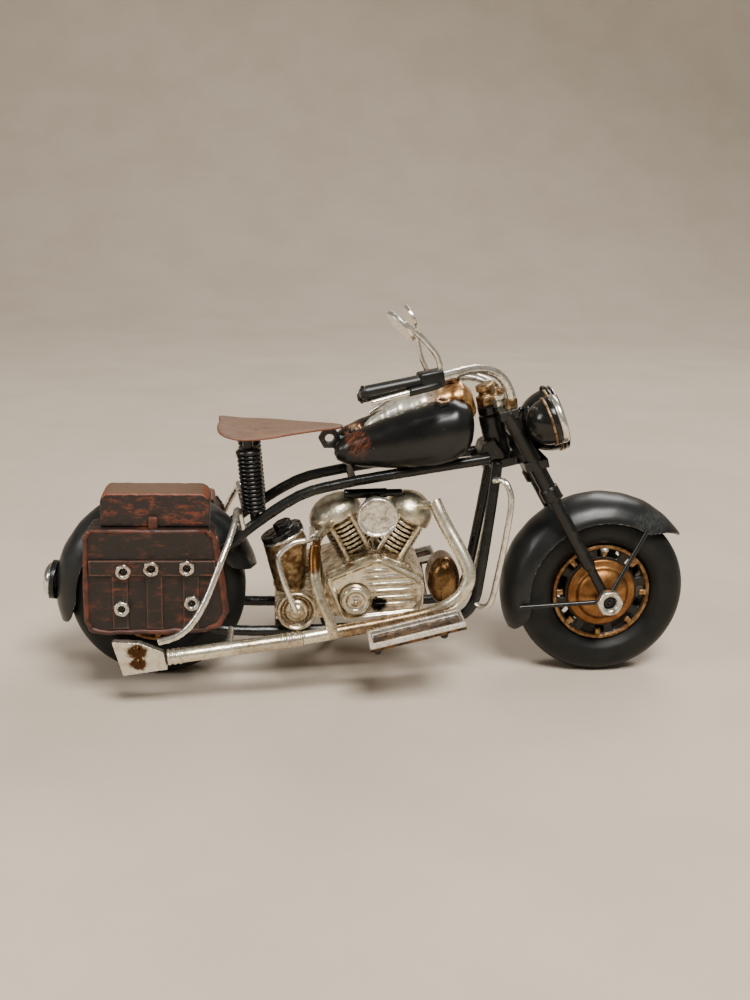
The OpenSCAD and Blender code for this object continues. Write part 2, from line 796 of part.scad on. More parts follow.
// Stepped leg with an eye round the axle
module fork_legs() {
    run = [fork_top.x - front_x, fork_top.y - axle_z];
    leg_l = norm(run);
    step = 35.5;
    step_r = fork_r + 0.5;
    low_r = fork_r - 0.4;
    tip_r = fork_r - 0.9;
    color([0.06, 0.06, 0.06]) bike() both_sides() translate([front_x, -fork_y, axle_z]) difference() {
        union() {
            rotate([0, atan2(run.x, run.y), 0]) rotate_extrude() polygon([
                [0, 2], [tip_r, 2], [tip_r, 10.4], [low_r, 11.4], [low_r, step - 2],
                [step_r, step - 1.6], [step_r, step + 1.6], [fork_r, step + 2], [fork_r, leg_l], [0, leg_l]
            ]);
            rotate([90, 0, 0]) cylinder(h = 2 * fork_eye_t, r = 3, center = true);
        }
        rotate([90, 0, 0]) cylinder(h = 6, r = axle_r, center = true);
    }
}

module fender_stays() {
    stay_y = fork_y + 0.4;
    stay_r = 0.65;
    color([0.06, 0.06, 0.06]) bike() {
        both_sides() {
            rod([59.8, -stay_y, 23.4], [37.8, -9.6, 21], stay_r);
            rod([63.2, -stay_y, 26.2], [72.6, -9.4, 43.6], stay_r);
        }
        rod([39.4, 0, 61.8], [49.6, 0, 50.2], 1.2);
    }
}

module front_axle() {
    color([0.6, 0.6, 0.58]) bike() {
        disc_y(front_x, axle_z, axle_r, -fork_y - 2, fork_y + 2);
        both_sides() disc_y(front_x, axle_z, collar_r, collar_in, fork_y - fork_eye_t);
    }
}

module axle_nuts() {
    color([0.7, 0.7, 0.66]) bike() both_sides()
        translate([front_x, fork_y + fork_eye_t, axle_z]) rotate([-90, 0, 0]) difference() {
            rotate(30) cylinder(h = 2.6, r = 3.8, $fn = 6);
            translate([0, 0, -1]) cylinder(h = 5, r = axle_r);
        }
}

module headlight_bowl() {
    depth = 9.7;
    wall = 0.9;
    color([0.05, 0.05, 0.05]) bike() on_lamp() rotate_extrude() polygon(concat(
        [for (a = [0 : 9 : 81]) [8.7 * cos(a), -depth * sin(a)]], [[0, -depth], [0, wall - depth]],
        [for (a = [81 : -9 : 0]) [(8.7 - wall) * cos(a), (wall - depth) * sin(a)]]
    ));
}

module headlight_rim() {
    color([0.55, 0.45, 0.3]) bike() on_lamp() rotate_extrude() polygon([
        [7.6, 0.05], [lamp_r, 0.05], [lamp_r, 1.6], [8.4, 2.3], [7.6, 2.3]
    ]);
}

module headlight_lens() {
    color([0.85, 0.87, 0.88]) bike() on_lamp() translate([0, 0, 0.5]) rotate_extrude() polygon(concat(
        [[0, 0], [7.5, 0]], [for (a = [0 : 15 : 75]) [7.5 * cos(a), 0.9 + 1.4 * sin(a)]], [[0, 2.3]]
    ));
}

// Spot lamp beside the headlight
module side_lamps() {
    color([0.5, 0.45, 0.35]) bike() translate([41.4, -15.2, 75.2]) rotate([0, 90 - lamp_tilt, 0]) {
        rotate_extrude() polygon(concat(
            [for (a = [81 : -9 : 0]) [6.2 * cos(a), -6.2 * sin(a)]],
            [[6.6, 0], [6.6, 1.2], [5.8, 1.4], [5.8, 1.8], [6.1, 1.8], [6.1, 3], [0, 3.2], [0, -6.2]]
        ));
        rod([-1, 4, -5], [-3, 8.5, -3.5], 0.8);
    }
}

module handlebar() {
    color([0.8, 0.8, 0.76]) bike() {
        wire(bar_right, bar_r);
        wire(bar_left, bar_r);
        // Risers on the upper clamp
        both_sides() on_stem() {
            translate([2.4, -5.6, head_tube_l + 2.8]) cylinder(h = 2, r = 1.9);
            translate([2.4, -5.6, head_tube_l + 4.8]) cylinder(h = 1.4, r = 2.4, $fn = 6);
        }
    }
}

// Grip sleeve from its outer end up to a clamp block
module grip(inner_end, outer_end) {
    run = outer_end - inner_end;
    difference() {
        union() {
            rod(inner_end + run * 0.1, outer_end + run * 0.03, 1.75);
            rod(inner_end, inner_end + run * 0.2, 2.1);
            rod(outer_end + run * 0.02, outer_end + run * 0.06, 1.2);
        }
        rod(inner_end - run * 0.2, outer_end + run * 0.005, bar_r);
    }
}

module grips() {
    color([0.04, 0.04, 0.04]) bike() {
        for (bar = [bar_right, bar_left])
            grip(bar[len(bar) - 2], bar[len(bar) - 1]);
    }
}

module levers() {
    color([0.7, 0.7, 0.66]) bike() {
        wire([[10.4, -22.4, 86], [9.6, -24.4, 85.9], [4, -26, 84.7], [-7, -27.6, 81.8]], 0.75);
        wire([[13.8, 23, 76.4], [11.6, 24.2, 75.6], [3, 25.2, 72.3], [-2.4, 26.2, 68.4]], 0.75);
    }
}

module mirrors() {
    glass_r = 4.8;
    color([0.8, 0.8, 0.76]) bike() {
        wire([
            [10.8, -22.2, 88.6], [9.9, -22.2, 92.4], [7.6, -22.4, 95.4], [5.3, -22.4, 97.7],
            [3, -22.6, 99.4], [0.9, -22.8, 101]
        ], 0.8);
        translate([0.2, -22.8, 100.3]) rotate([-10, 46, 0]) cylinder(h = 1.1, r = glass_r, center = true);
        wire([
            [15.4, 22, 78.6], [11.9, 22.2, 85], [10.6, 22.4, 89.6], [9.6, 22.4, 93.7], [8.7, 22.4, 97]
        ], 0.8);
        translate([8.2, 22.4, 96.9]) rotate([-8, 63, 0]) cylinder(h = 1.1, r = glass_r - 0.8, center = true);
    }
}

head_lug();
top_tubes();
cradle_tubes();
frame_plates();
cross_bars();
seat_springs();
seat_pan();
seat_nut();
tank_shells();
tank_spine();
tank_caps();
crankcase();
cylinders();
rocker_boxes();
pushrod_tubes();
air_cleaner();
ignition_coil();
gearcase_cover();
generator();
oil_tank();
oil_cap();
kick_gear();
oil_pipe();
primary_cover();
exhaust_headers();
silencer();
fishtail();
footboards();
front_guards();
rear_guards();
rear_fender();
tail_lamp();
tail_lens();
saddlebags();
bag_lids();
bag_straps();
bag_buckles();
rear_axle();
side_stand();
rear_tyre();
rear_rim();
rear_hub_caps();
front_tyre();
front_rim();
front_hub_caps();
steering_stem();
fork_clamps();
fork_legs();
front_fender();
fender_stays();
front_axle();
axle_nuts();
headlight_bowl();
headlight_rim();
headlight_lens();
side_lamps();
handlebar();
grips();
levers();
mirrors();
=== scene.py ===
import json
from itertools import product
from math import copysign, cos, hypot, pi, radians, sin, sqrt, tan

import bmesh
import bpy
from mathutils import Matrix, Vector


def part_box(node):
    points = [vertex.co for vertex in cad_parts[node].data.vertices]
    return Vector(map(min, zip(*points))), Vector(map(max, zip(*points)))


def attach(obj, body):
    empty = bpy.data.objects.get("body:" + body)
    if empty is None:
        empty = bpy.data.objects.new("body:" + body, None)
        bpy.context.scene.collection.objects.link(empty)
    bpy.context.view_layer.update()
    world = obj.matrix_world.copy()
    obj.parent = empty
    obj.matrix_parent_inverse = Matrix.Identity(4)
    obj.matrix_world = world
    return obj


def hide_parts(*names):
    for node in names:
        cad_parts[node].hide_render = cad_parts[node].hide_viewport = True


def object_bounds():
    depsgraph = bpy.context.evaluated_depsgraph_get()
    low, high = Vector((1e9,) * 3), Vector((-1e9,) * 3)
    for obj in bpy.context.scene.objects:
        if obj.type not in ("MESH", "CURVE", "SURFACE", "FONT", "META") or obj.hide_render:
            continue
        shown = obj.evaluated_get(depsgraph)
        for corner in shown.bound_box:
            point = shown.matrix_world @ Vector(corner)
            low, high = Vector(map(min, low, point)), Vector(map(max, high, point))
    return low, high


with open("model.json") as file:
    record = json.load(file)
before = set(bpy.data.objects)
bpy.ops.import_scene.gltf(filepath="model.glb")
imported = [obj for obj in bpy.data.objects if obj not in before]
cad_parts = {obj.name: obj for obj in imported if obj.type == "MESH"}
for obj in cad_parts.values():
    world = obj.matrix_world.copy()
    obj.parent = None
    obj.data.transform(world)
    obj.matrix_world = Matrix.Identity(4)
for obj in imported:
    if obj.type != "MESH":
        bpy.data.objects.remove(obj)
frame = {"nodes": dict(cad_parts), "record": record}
cad_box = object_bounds()
NODES = frame["nodes"]
BODY_OF = {n: b for b, members in frame["record"]["behaviour"]["bodies"].items() for n in members}
MM = 0.001
BOARD_SLOPE = 14.5


def middle(node):
    low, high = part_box(node)
    return (low + high) / 2


FRONT_AXLE = middle("front_axle")
REAR_AXLE = middle("rear_axle")
MID_X = (FRONT_AXLE.x + REAR_AXLE.x) / 2


def at(x, y, z):
    """A point in millimetres from the middle of the wheelbase, as a vector in the frame."""
    return Vector((MID_X + x * MM, y * MM, z * MM))


# ---- materials ----


class Surface:
    """Builds one procedural material around a Principled shader."""

    def __init__(self, name, **constants):
        self.mat = bpy.data.materials.new(name)
        self.mat.use_nodes = True
        self.tree = self.mat.node_tree
        self.shader = self.tree.nodes["Principled BSDF"]
        self.place = self.add("TexCoord", {}, "Object")
        for socket, value in constants.items():
            self.shader.inputs[socket.replace("_", " ")].default_value = value

    def add(self, kind, inputs, out=0, **settings):
        node = self.tree.nodes.new("ShaderNode" + kind)
        for key, value in settings.items():
            setattr(node, key, value)
        for key, value in inputs.items():
            if isinstance(value, bpy.types.NodeSocket):
                self.tree.links.new(value, node.inputs[key])
            else:
                node.inputs[key].default_value = value
        return node.outputs[out]

    def noise(self, size, detail=4.0, rough=0.6, stretch=None, twist=0.0):
        """Noise with features of about that size in millimetres, stretched by a factor along each axis."""
        vector = self.place
        if twist:
            vector = self.add("Mapping", {"Vector": vector, "Rotation": (0, twist, 0)})
        if stretch:
            vector = self.add("Mapping", {"Vector": vector, "Scale": stretch})
        return self.add("TexNoise", {"Vector": vector, "Scale": 1 / (size * MM), "Detail": detail,
            "Roughness": rough})

    def step(self, value, low, high):
        """0 below low, 1 above high, smooth between."""
        return self.add("MapRange", {"Value": value, "From Min": low, "From Max": high},
            interpolation_type="SMOOTHSTEP")

    def math(self, operation, a, b=0.0):
        return self.add("Math", {0: a, 1: b}, operation=operation)

    def plus(self, a, b):
        return self.math("ADD", a, b)

    def minus(self, a, b):
        return self.math("SUBTRACT", a, b)

    def times(self, a, b):
        return self.math("MULTIPLY", a, b)

    def ragged(self, value, noise, amount):
        """The value, made uneven by noise."""
        return self.plus(value, self.times(self.minus(noise, 0.5), amount))

    def mix(self, factor, a, b):
        colours = {6: (*a, 1) if isinstance(a, tuple) else a, 7: (*b, 1) if isinstance(b, tuple) else b}
        return self.add("Mix", {0: factor, **colours}, 2, data_type="RGBA")

    def blend(self, value, low, high, a, b):
        """Colour a where the value is below low, colour b above high."""
        return self.mix(self.step(value, low, high), a, b)

    def recess(self, size, low, high):
        """1 in corners and grooves up to that deep in millimetres, 0 in the open."""
        shade = self.add("AmbientOcclusion", {"Distance": size * MM}, "AO", samples=6, only_local=True)
        return self.minus(1.0, self.step(shade, low, high))

    def edges(self, size, low, high):
        """1 on edges and rims sharper than that radius in millimetres."""
        true_normal = self.add("NewGeometry", {}, "Normal")
        rounded = self.add("Bevel", {"Radius": size * MM}, samples=4)
        facing = self.add("VectorMath", {0: true_normal, 1: rounded}, "Value", operation="DOT_PRODUCT")
        return self.step(self.minus(1.0, facing), low, high)

    def axis(self, letter):
        return self.add("SeparateXYZ", {0: self.place}, letter)

    def upward(self):
        """1 where the surface faces up, 0 where it is upright."""
        return self.add("SeparateXYZ", {0: self.add("NewGeometry", {}, "Normal")}, "Z")

    def away(self, centre, reach_x=1, reach_z=1):
        """Distance from a place in the side view, as a share of the reach in millimetres."""
        across = self.math("DIVIDE", self.minus(self.axis("X"), centre.x), reach_x * MM)
        up = self.math("DIVIDE", self.minus(self.axis("Z"), centre.z), reach_z * MM)
        return self.math("SQRT", self.plus(self.math("POWER", across, 2.0), self.math("POWER", up, 2.0)))

    def spot(self, centre, reach_x, reach_z, uneven):
        """1 near a place in the side view, falling to 0 at the given reach, with a ragged edge."""
        away = self.ragged(self.away(centre, reach_x, reach_z), self.noise(1.2, 5, rough=0.7), uneven)
        return self.minus(1.0, self.step(away, 0.6, 1.0))

    def brushed(self, colour, centre, reach_x, reach_z, paint, low, high, size=0.9):
        """Paint dragged thinly over a place."""
        strokes = self.noise(size, 7, rough=0.75, stretch=(1.9, 1, 0.35), twist=-0.6)
        taken = self.times(self.spot(centre, reach_x, reach_z, 0.8), self.step(strokes, low, high))
        return self.mix(taken, colour, paint)

    def finish(self, colour, roughness, relief, metallic=None):
        """Joins up the shader: roughness is (noise, least, most), relief is (noise, strength, depth)."""
        value, least, most = roughness
        bump, strength, depth = relief
        ends = {
            "Base Color": colour, "Metallic": metallic,
            "Roughness": self.add("MapRange", {"Value": value, "To Min": least, "To Max": most}),
            "Normal": self.add("Bump", {"Height": bump, "Strength": strength, "Distance": depth * MM})
        }
        for socket, source in ends.items():
            if source is not None:
                self.tree.links.new(source, self.shader.inputs[socket])
        return self.mat


def black_paint(name, base=(0.0045, 0.005, 0.0045), worn=(0.013, 0.0125, 0.011), shine=(0.22, 0.34),
        chips=0.71, brushes=()):
    """Satin black with pale chips; brushes are (centre, reach x, reach z, colour) strokes over it."""
    s = Surface(name, Specular_IOR_Level=0.42)
    colour = s.blend(s.noise(5, 5), 0.35, 0.75, base, worn)
    specks = s.step(s.noise(0.55, 3, rough=0.7), chips, chips + 0.03)
    rubbed = s.times(s.edges(0.25, 0.05, 0.25), s.step(s.noise(1.1), 0.5, 0.62))
    for brush in brushes:
        colour = s.brushed(colour, *brush)
    colour = s.mix(s.math("MAXIMUM", specks, rubbed), colour, (0.55, 0.54, 0.48))
    return s.finish(colour, (s.noise(2.2), *shine), (s.noise(0.8, 6), 0.25, 0.08))


def silver_paint(name, base=(0.74, 0.66, 0.49), dark=(0.38, 0.28, 0.15), wash=0.0,
        wash_colour=(0.15, 0.062, 0.015), chips=0.7, shine=(0.2, 0.36), grain=0.55, recess=2.2, relief=0.3,
        stains=()):
    """Metallic silver with black chips, and a brown wash that settles in the corners.

    Stains are (centre, reach x, reach z, colour) blotches.
    """
    s = Surface(name)
    colour = s.blend(s.noise(1.6, 6), 0.4, 0.72, base, dark)
    if wash:
        settled = s.recess(recess, 0.3, 0.92)
        blotches = s.step(s.noise(3.2, 5), 0.62 - 0.25 * wash, 0.8 - 0.2 * wash)
        amount = s.math("MINIMUM", s.plus(s.times(settled, 0.9), s.times(blotches, wash)), 1.0)
        colour = s.mix(amount, colour, wash_colour)
        colour = s.mix(s.times(s.step(settled, 0.7, 1.0), 0.9), colour, (0.022, 0.011, 0.005))
    for centre, reach_x, reach_z, stain in stains:
        colour = s.mix(s.spot(centre, reach_x, reach_z, 1.1), colour, stain)
    flaked = s.step(s.noise(1.0, 5, rough=0.65), chips, chips + 0.025)
    colour = s.mix(flaked, colour, (0.02, 0.018, 0.015))
    metallic = s.minus(0.92, s.times(flaked, 0.9))
    return s.finish(colour, (s.noise(0.9, 5), *shine), (s.noise(grain, 6), relief, 0.14), metallic)


def bronze_paint(name, base, light, size=2.6, silver=0.0, shine=(0.28, 0.46), recess=1.6):
    """Bronze in two tones with dark corners, rubbed through to silver in places."""
    s = Surface(name, Metallic=0.85)
    colour = s.blend(s.noise(size, 6), 0.38, 0.68, base, light)
    if silver:
        rubbed = s.step(s.noise(size * 0.8, 6, rough=0.7), 0.72 - 0.25 * silver, 0.8 - 0.2 * silver)
        colour = s.mix(rubbed, colour, (0.62, 0.58, 0.48))
    colour = s.mix(s.recess(recess, 0.25, 0.85), colour, (0.045, 0.02, 0.008))
    return s.finish(colour, (s.noise(1.0, 5), *shine), (s.noise(0.6, 6), 0.4, 0.1))


def rubber(name):
    s = Surface(name, Specular_IOR_Level=0.28)
    colour = s.blend(s.noise(7, 4), 0.35, 0.7, (0.0045, 0.0052, 0.0046), (0.009, 0.0095, 0.0085))
    return s.finish(colour, (s.noise(3), 0.42, 0.56), (s.noise(0.35, 4), 0.15, 0.05))


def bag_paint(name, red=0.5, base=(0.011, 0.007, 0.005), brush=(0.17, 0.036, 0.013),
        rim=(0.19, 0.042, 0.018)):
    """Black base with red-brown paint dragged over it; red is how much of it takes."""
    s = Surface(name)
    strokes = s.noise(2.0, 8, rough=0.75, stretch=(0.45, 1, 1.3))
    patches = s.noise(8, 3)
    taken = s.plus(s.times(strokes, 0.65), s.times(patches, 0.35))
    taken = s.step(taken, 0.6 - 0.18 * red, 0.7 - 0.12 * red)
    taken = s.times(taken, 0.55 + 0.4 * red)
    rims = s.times(s.edges(0.8, 0.03, 0.3), 0.9)
    colour = s.mix(rims, s.mix(taken, base, brush), rim)
    colour = s.blend(s.noise(0.5, 2), 0.765, 0.79, colour, (0.7, 0.68, 0.6))
    return s.finish(colour, (strokes, 0.34, 0.6), (strokes, 0.5, 0.14))


def lid_paint(name):
    """As the bags, with a red band along its edges and an olive-brown top, both set by how much the surface
    faces up; the top's olive-brown is a painted sheen.
    """
    s = Surface(name)
    strokes = s.noise(1.6, 8, rough=0.75, stretch=(0.45, 1, 1.3))
    # How much the surface faces up, with a ragged edge: it places the red edge band and the painted sheen on
    # top.
    ragged = s.ragged(s.upward(), strokes, 0.9)
    side = s.blend(strokes, 0.5, 0.62, (0.016, 0.01, 0.008), (0.13, 0.03, 0.012))
    colour = s.blend(ragged, 0.12, 0.45, side, (0.19, 0.045, 0.019))
    # Painted sheen: the upward-facing top is coloured olive-brown as if lit from above.
    colour = s.blend(ragged, 0.72, 1.0, colour, (0.105, 0.06, 0.034))
    return s.finish(colour, (strokes, 0.36, 0.6), (strokes, 0.4, 0.12))


def seat_paint(name):
    s = Surface(name)
    strokes = s.noise(1.8, 7, rough=0.7, stretch=(0.3, 1, 1))
    colour = s.blend(strokes, 0.4, 0.66, (0.125, 0.07, 0.043), (0.185, 0.094, 0.055))
    colour = s.blend(s.noise(1.3, 6), 0.6, 0.66, colour, (0.07, 0.035, 0.022))
    colour = s.mix(s.edges(0.7, 0.01, 0.12), colour, (0.34, 0.058, 0.021))
    return s.finish(colour, (strokes, 0.45, 0.68), (strokes, 0.35, 0.1))


def tank_paint(name):
    """Satin black with a rust-red brushed patch on the low rear of the tank."""
    s = Surface(name, Specular_IOR_Level=0.45)
    colour = s.blend(s.noise(8), 0.4, 0.7, (0.004, 0.0042, 0.004), (0.008, 0.008, 0.007))
    colour = s.brushed(colour, at(-8.4, 0, 67.3), 3.7, 4.2, (0.155, 0.046, 0.019), 0.44, 0.6, 0.8)
    colour = s.blend(s.noise(0.6, 3, rough=0.7), 0.745, 0.76, colour, (0.62, 0.6, 0.54))
    return s.finish(colour, (s.noise(4), 0.24, 0.34), (s.noise(2.5, 3), 0.12, 0.1))


def spine_paint(name):
    """Silver at the rear, running into bronze at the front, with dark chips."""
    s = Surface(name, Metallic=0.8)
    along = s.step(s.ragged(s.axis("X"), s.noise(3, 5), 9 * MM), at(6, 0, 0).x, at(15, 0, 0).x)
    silver = s.blend(s.noise(1.4, 6), 0.44, 0.72, (0.86, 0.83, 0.75), (0.6, 0.5, 0.34))
    bronze = s.blend(s.noise(2.2, 6), 0.4, 0.62, (0.3, 0.13, 0.04), (0.55, 0.33, 0.14))
    colour = s.mix(along, silver, bronze)
    colour = s.mix(s.recess(1.4, 0.3, 0.8), colour, (0.09, 0.04, 0.015))
    colour = s.blend(s.noise(0.9, 5, rough=0.65), 0.66, 0.69, colour, (0.03, 0.025, 0.02))
    return s.finish(colour, (s.noise(1.1), 0.26, 0.42), (s.noise(0.9, 6), 0.28, 0.14))


def board_paint(name):
    """Silver rim round a brown tray, with painted shade in the same brown along the low part of the walls."""
    s = Surface(name, Metallic=0.8)
    silver = s.blend(s.noise(1.4, 6), 0.42, 0.7, (0.82, 0.8, 0.74), (0.52, 0.46, 0.35))
    silver = s.blend(s.noise(1.0, 5, rough=0.65), 0.69, 0.71, silver, (0.03, 0.025, 0.02))
    brown = s.blend(s.noise(2.2, 6), 0.42, 0.62, (0.03, 0.016, 0.008), (0.15, 0.08, 0.034))
    off_y = s.math("ABSOLUTE", s.minus(s.math("ABSOLUTE", s.axis("Y")), 28 * MM))
    off_x = s.math("ABSOLUTE", s.minus(s.axis("X"), at(6.6, 0, 0).x))
    rim = s.math("MAXIMUM", s.step(off_y, 3.7 * MM, 4.1 * MM), s.step(off_x, 11.2 * MM, 11.7 * MM))
    tray = s.times(s.minus(1.0, rim), s.step(s.upward(), 0.3, 0.6))
    slope = radians(BOARD_SLOPE)
    rise = s.times(s.minus(s.axis("Z"), at(0, 0, 17.4).z), cos(slope))
    rise = s.minus(rise, s.times(s.minus(s.axis("X"), at(-5.6, 0, 0).x), sin(slope)))
    # Painted shade: the lowest millimetre of the board, under the rim, takes the tray's brown.
    painted_shade_low_wall = s.minus(1.0, s.step(rise, 0.7 * MM, 1.1 * MM))
    colour = s.mix(s.math("MAXIMUM", tray, painted_shade_low_wall), silver, brown)
    return s.finish(colour, (s.noise(1.0, 5), 0.2, 0.4), (s.noise(0.9, 6), 0.2, 0.12))


def cap_paint(name):
    """Black sides and a gold top with a ragged worn edge, picked by how much the surface faces up: partly the
    cap's own gold, partly a painted highlight where the top catches the light.
    """
    s = Surface(name)
    # The mask named worn marks the upward-facing top: the cap's gold together with a painted highlight on the
    # lit top.
    worn = s.step(s.ragged(s.upward(), s.noise(1.1, 6), 1.1), 0.4, 0.66)
    gold = s.blend(s.noise(1.2, 6), 0.44, 0.62, (0.3, 0.12, 0.04), (0.72, 0.58, 0.36))
    side = s.blend(s.noise(1.6, 5), 0.52, 0.64, (0.007, 0.007, 0.006), (0.13, 0.036, 0.014))
    colour = s.mix(worn, side, gold)
    return s.finish(colour, (s.noise(1.0), 0.24, 0.42), (s.noise(0.7, 6), 0.25, 0.1), s.times(worn, 0.8))


def exhaust_paint(name, turns, below=60):
    """Antique silver that turns bronze-brown between given places along x, below a height.

    Turns are (start, end, amount) in millimetres.
    """
    s = Surface(name, Metallic=0.85)
    colour = s.blend(s.noise(1.5, 6), 0.44, 0.72, (0.8, 0.74, 0.59), (0.54, 0.44, 0.27))
    place = s.ragged(s.axis("X"), s.noise(2.6, 5), 7 * MM)
    brown = s.blend(s.noise(1.8, 6), 0.4, 0.66, (0.13, 0.065, 0.022), (0.34, 0.215, 0.1))
    low = s.minus(1.0, s.step(s.axis("Z"), at(0, 0, below - 2).z, at(0, 0, below + 2).z))
    for start, end, amount in turns:
        after = s.step(place, at(start - 2, 0, 0).x, at(start + 2, 0, 0).x)
        inside = s.times(after, s.minus(1.0, s.step(place, at(end - 2, 0, 0).x, at(end + 2, 0, 0).x)))
        colour = s.mix(s.times(s.times(inside, low), amount), colour, brown)
    colour = s.mix(s.times(s.recess(1.6, 0.3, 0.85), 0.85), colour, (0.1, 0.045, 0.014))
    scratches = s.noise(1.4, 6, rough=0.7, stretch=(0.25, 1, 2.5))
    colour = s.blend(scratches, 0.665, 0.69, colour, (0.05, 0.04, 0.03))
    return s.finish(colour, (s.noise(1.0, 5), 0.19, 0.34), (s.noise(1.0, 6), 0.22, 0.12))


def rim_paint(name, centre):
    """Bronze outer ring round a dark band, by distance from the wheel's axle."""
    s = Surface(name)
    bronze = s.blend(s.noise(1.5, 6), 0.4, 0.66, (0.14, 0.062, 0.022), (0.33, 0.2, 0.09))
    bronze = s.blend(s.noise(0.8, 5), 0.64, 0.69, bronze, (0.62, 0.52, 0.37))
    dark = s.blend(s.noise(1.2, 5), 0.48, 0.72, (0.008, 0.007, 0.006), (0.034, 0.019, 0.01))
    outer = s.step(s.away(centre), 12.6, 13.0)
    colour = s.mix(outer, dark, bronze)
    return s.finish(colour, (s.noise(1), 0.28, 0.45), (s.noise(0.6, 6), 0.4, 0.1),
        s.plus(0.3, s.times(outer, 0.55)))


def lamp_glass(name):
    s = Surface(name, Metallic=1.0, Coat_Weight=0.8, Coat_Roughness=0.05)
    colour = s.blend(s.noise(3), 0.4, 0.7, (0.8, 0.81, 0.79), (0.55, 0.55, 0.5))
    return s.finish(colour, (s.noise(1.5), 0.1, 0.22), (s.noise(1.2), 0.12, 0.08))


def family(paint, ending, **members):
    """Materials of one kind, each under its short name."""
    return {key: paint(key + ending, **settings) for key, settings in members.items()}


BROWN = (0.13, 0.055, 0.014)
DEEP_BROWN = (0.075, 0.034, 0.012)
MATS = {
    **family(
        black_paint, "_black", frame={}, fork=dict(shine=(0.2, 0.3)),
        grip=dict(shine=(0.28, 0.4), chips=0.76),
        gloss=dict(base=(0.0035, 0.0035, 0.0035), shine=(0.12, 0.22)),
        fender=dict(base=(0.006, 0.007, 0.0068), worn=(0.012, 0.013, 0.013), shine=(0.28, 0.42), chips=0.745,
            brushes=[(at(73.6, 0, 45), 6.6, 3.6, (0.036, 0.039, 0.038), 0.42, 0.6)])),
    **family(
        silver_paint, "_silver", cast=dict(wash=0.35), case=dict(wash=0.75, recess=3.0),
        fin=dict(wash=0.45, recess=1.0),
        cover=dict(base=(0.8, 0.74, 0.58), dark=(0.54, 0.45, 0.29), wash=0.2, chips=0.76, relief=0.2,
            shine=(0.17, 0.3), recess=1.4,
            stains=[(at(-2.2, 0, 24.2), 2.9, 2.6, (0.008, 0.007, 0.006))]),
        dome=dict(base=(0.74, 0.68, 0.53), dark=(0.5, 0.42, 0.27), wash=0.18, chips=0.76, relief=0.25,
            shine=(0.28, 0.42),
            stains=[(at(7, 0, 54), 6.5, 2.2, BROWN), (at(-17, 0, 52.6), 7, 1.6, BROWN)]),
        cleaner=dict(base=(0.84, 0.81, 0.72), dark=(0.34, 0.31, 0.24), wash=0.14, grain=0.9, chips=0.67,
            relief=0.9),
        wire=dict(base=(0.87, 0.84, 0.75), dark=(0.66, 0.6, 0.47), chips=0.685,
            shine=(0.16, 0.27), grain=1.2, relief=0.17),
        guard=dict(base=(0.86, 0.84, 0.76), dark=(0.58, 0.52, 0.39), chips=0.71,
            shine=(0.17, 0.29), grain=1.2, relief=0.18),
        nut=dict(base=(0.7, 0.69, 0.63), dark=(0.34, 0.29, 0.2), wash=0.3, chips=0.68, recess=1.0),
        red_nut=dict(base=(0.68, 0.64, 0.56), dark=(0.2, 0.05, 0.025), wash=0.6,
            wash_colour=(0.16, 0.035, 0.015), chips=0.66, recess=0.8),
        rear_header=dict(wash=0.2, relief=0.2, stains=[(at(-20, 0, 38.5), 4, 5, BROWN)]),
        fishtail=dict(base=(0.78, 0.75, 0.64), dark=(0.62, 0.55, 0.4), wash=0.24, chips=0.77, recess=1.8,
            relief=0.2, stains=[(at(-65.6, 0, 16.2), 3.4, 2.7, DEEP_BROWN),
            (at(-65.2, 0, 12.9), 2.8, 2.2, DEEP_BROWN)])),
    **family(
        bronze_paint, "_bronze",
        hub=dict(base=(0.215, 0.085, 0.022), light=(0.36, 0.175, 0.06), recess=1.4),
        stud=dict(base=(0.22, 0.1, 0.034), light=(0.46, 0.31, 0.15), size=1.2, silver=0.2),
        mottled=dict(base=(0.125, 0.063, 0.022), light=(0.42, 0.3, 0.155), size=1.7, silver=0.3),
        bulge=dict(base=(0.1, 0.05, 0.017), light=(0.25, 0.145, 0.058), size=5, shine=(0.2, 0.34)),
        riser=dict(base=(0.15, 0.075, 0.027), light=(0.52, 0.39, 0.22), size=1.4, silver=0.4)),
    **family(bag_paint, "_brown", bag=dict(red=0.55, brush=(0.105, 0.027, 0.011)),
             strap=dict(red=0.5, rim=(0.34, 0.15, 0.09))),
    "piping": bag_paint("piping_red", red=1.0, base=(0.038, 0.013, 0.008), brush=(0.115, 0.027, 0.012),
            rim=(0.115, 0.028, 0.013)),
    "header": exhaust_paint("header_silver", [(-14, 16, 0.9)], 26.5),
    "silencer": exhaust_paint("silencer_silver", [(-40, -22, 0.4)]),
    "tyre": rubber("tyre_rubber"), "board": board_paint("board_silver"), "cap": cap_paint("cap_bronze"),
    "lid": lid_paint("lid_brown"), "seat": seat_paint("seat_tan"), "tank": tank_paint("tank_black"),
    "spine": spine_paint("spine_silver"), "lens": lamp_glass("lamp_glass"),
    "front_rim": rim_paint("front_rim_bronze", FRONT_AXLE),
    "rear_rim": rim_paint("rear_rim_bronze", REAR_AXLE),
}


# ---- shapes ----


def linked(name, data):
    """A new object, linked into the scene."""
    made = bpy.data.objects.new(name, data)
    bpy.context.scene.collection.objects.link(made)
    return made


def piece(name, verts, faces, material, body, slot, stands_for=(), smooth=True):
    """A new mesh piece from points in the frame; it rides on its body and may stand for CAD nodes."""
    mesh = bpy.data.meshes.new(name)
    mesh.from_pydata([tuple(v) for v in verts], [], faces)
    mesh.validate()
    made = linked(name, mesh)
    mend = bmesh.new()
    mend.from_mesh(mesh)
    bmesh.ops.recalc_face_normals(mend, faces=mend.faces)
    mend.to_mesh(mesh)
    mend.free()
    return dress(made, material, body, stands_for, smooth)


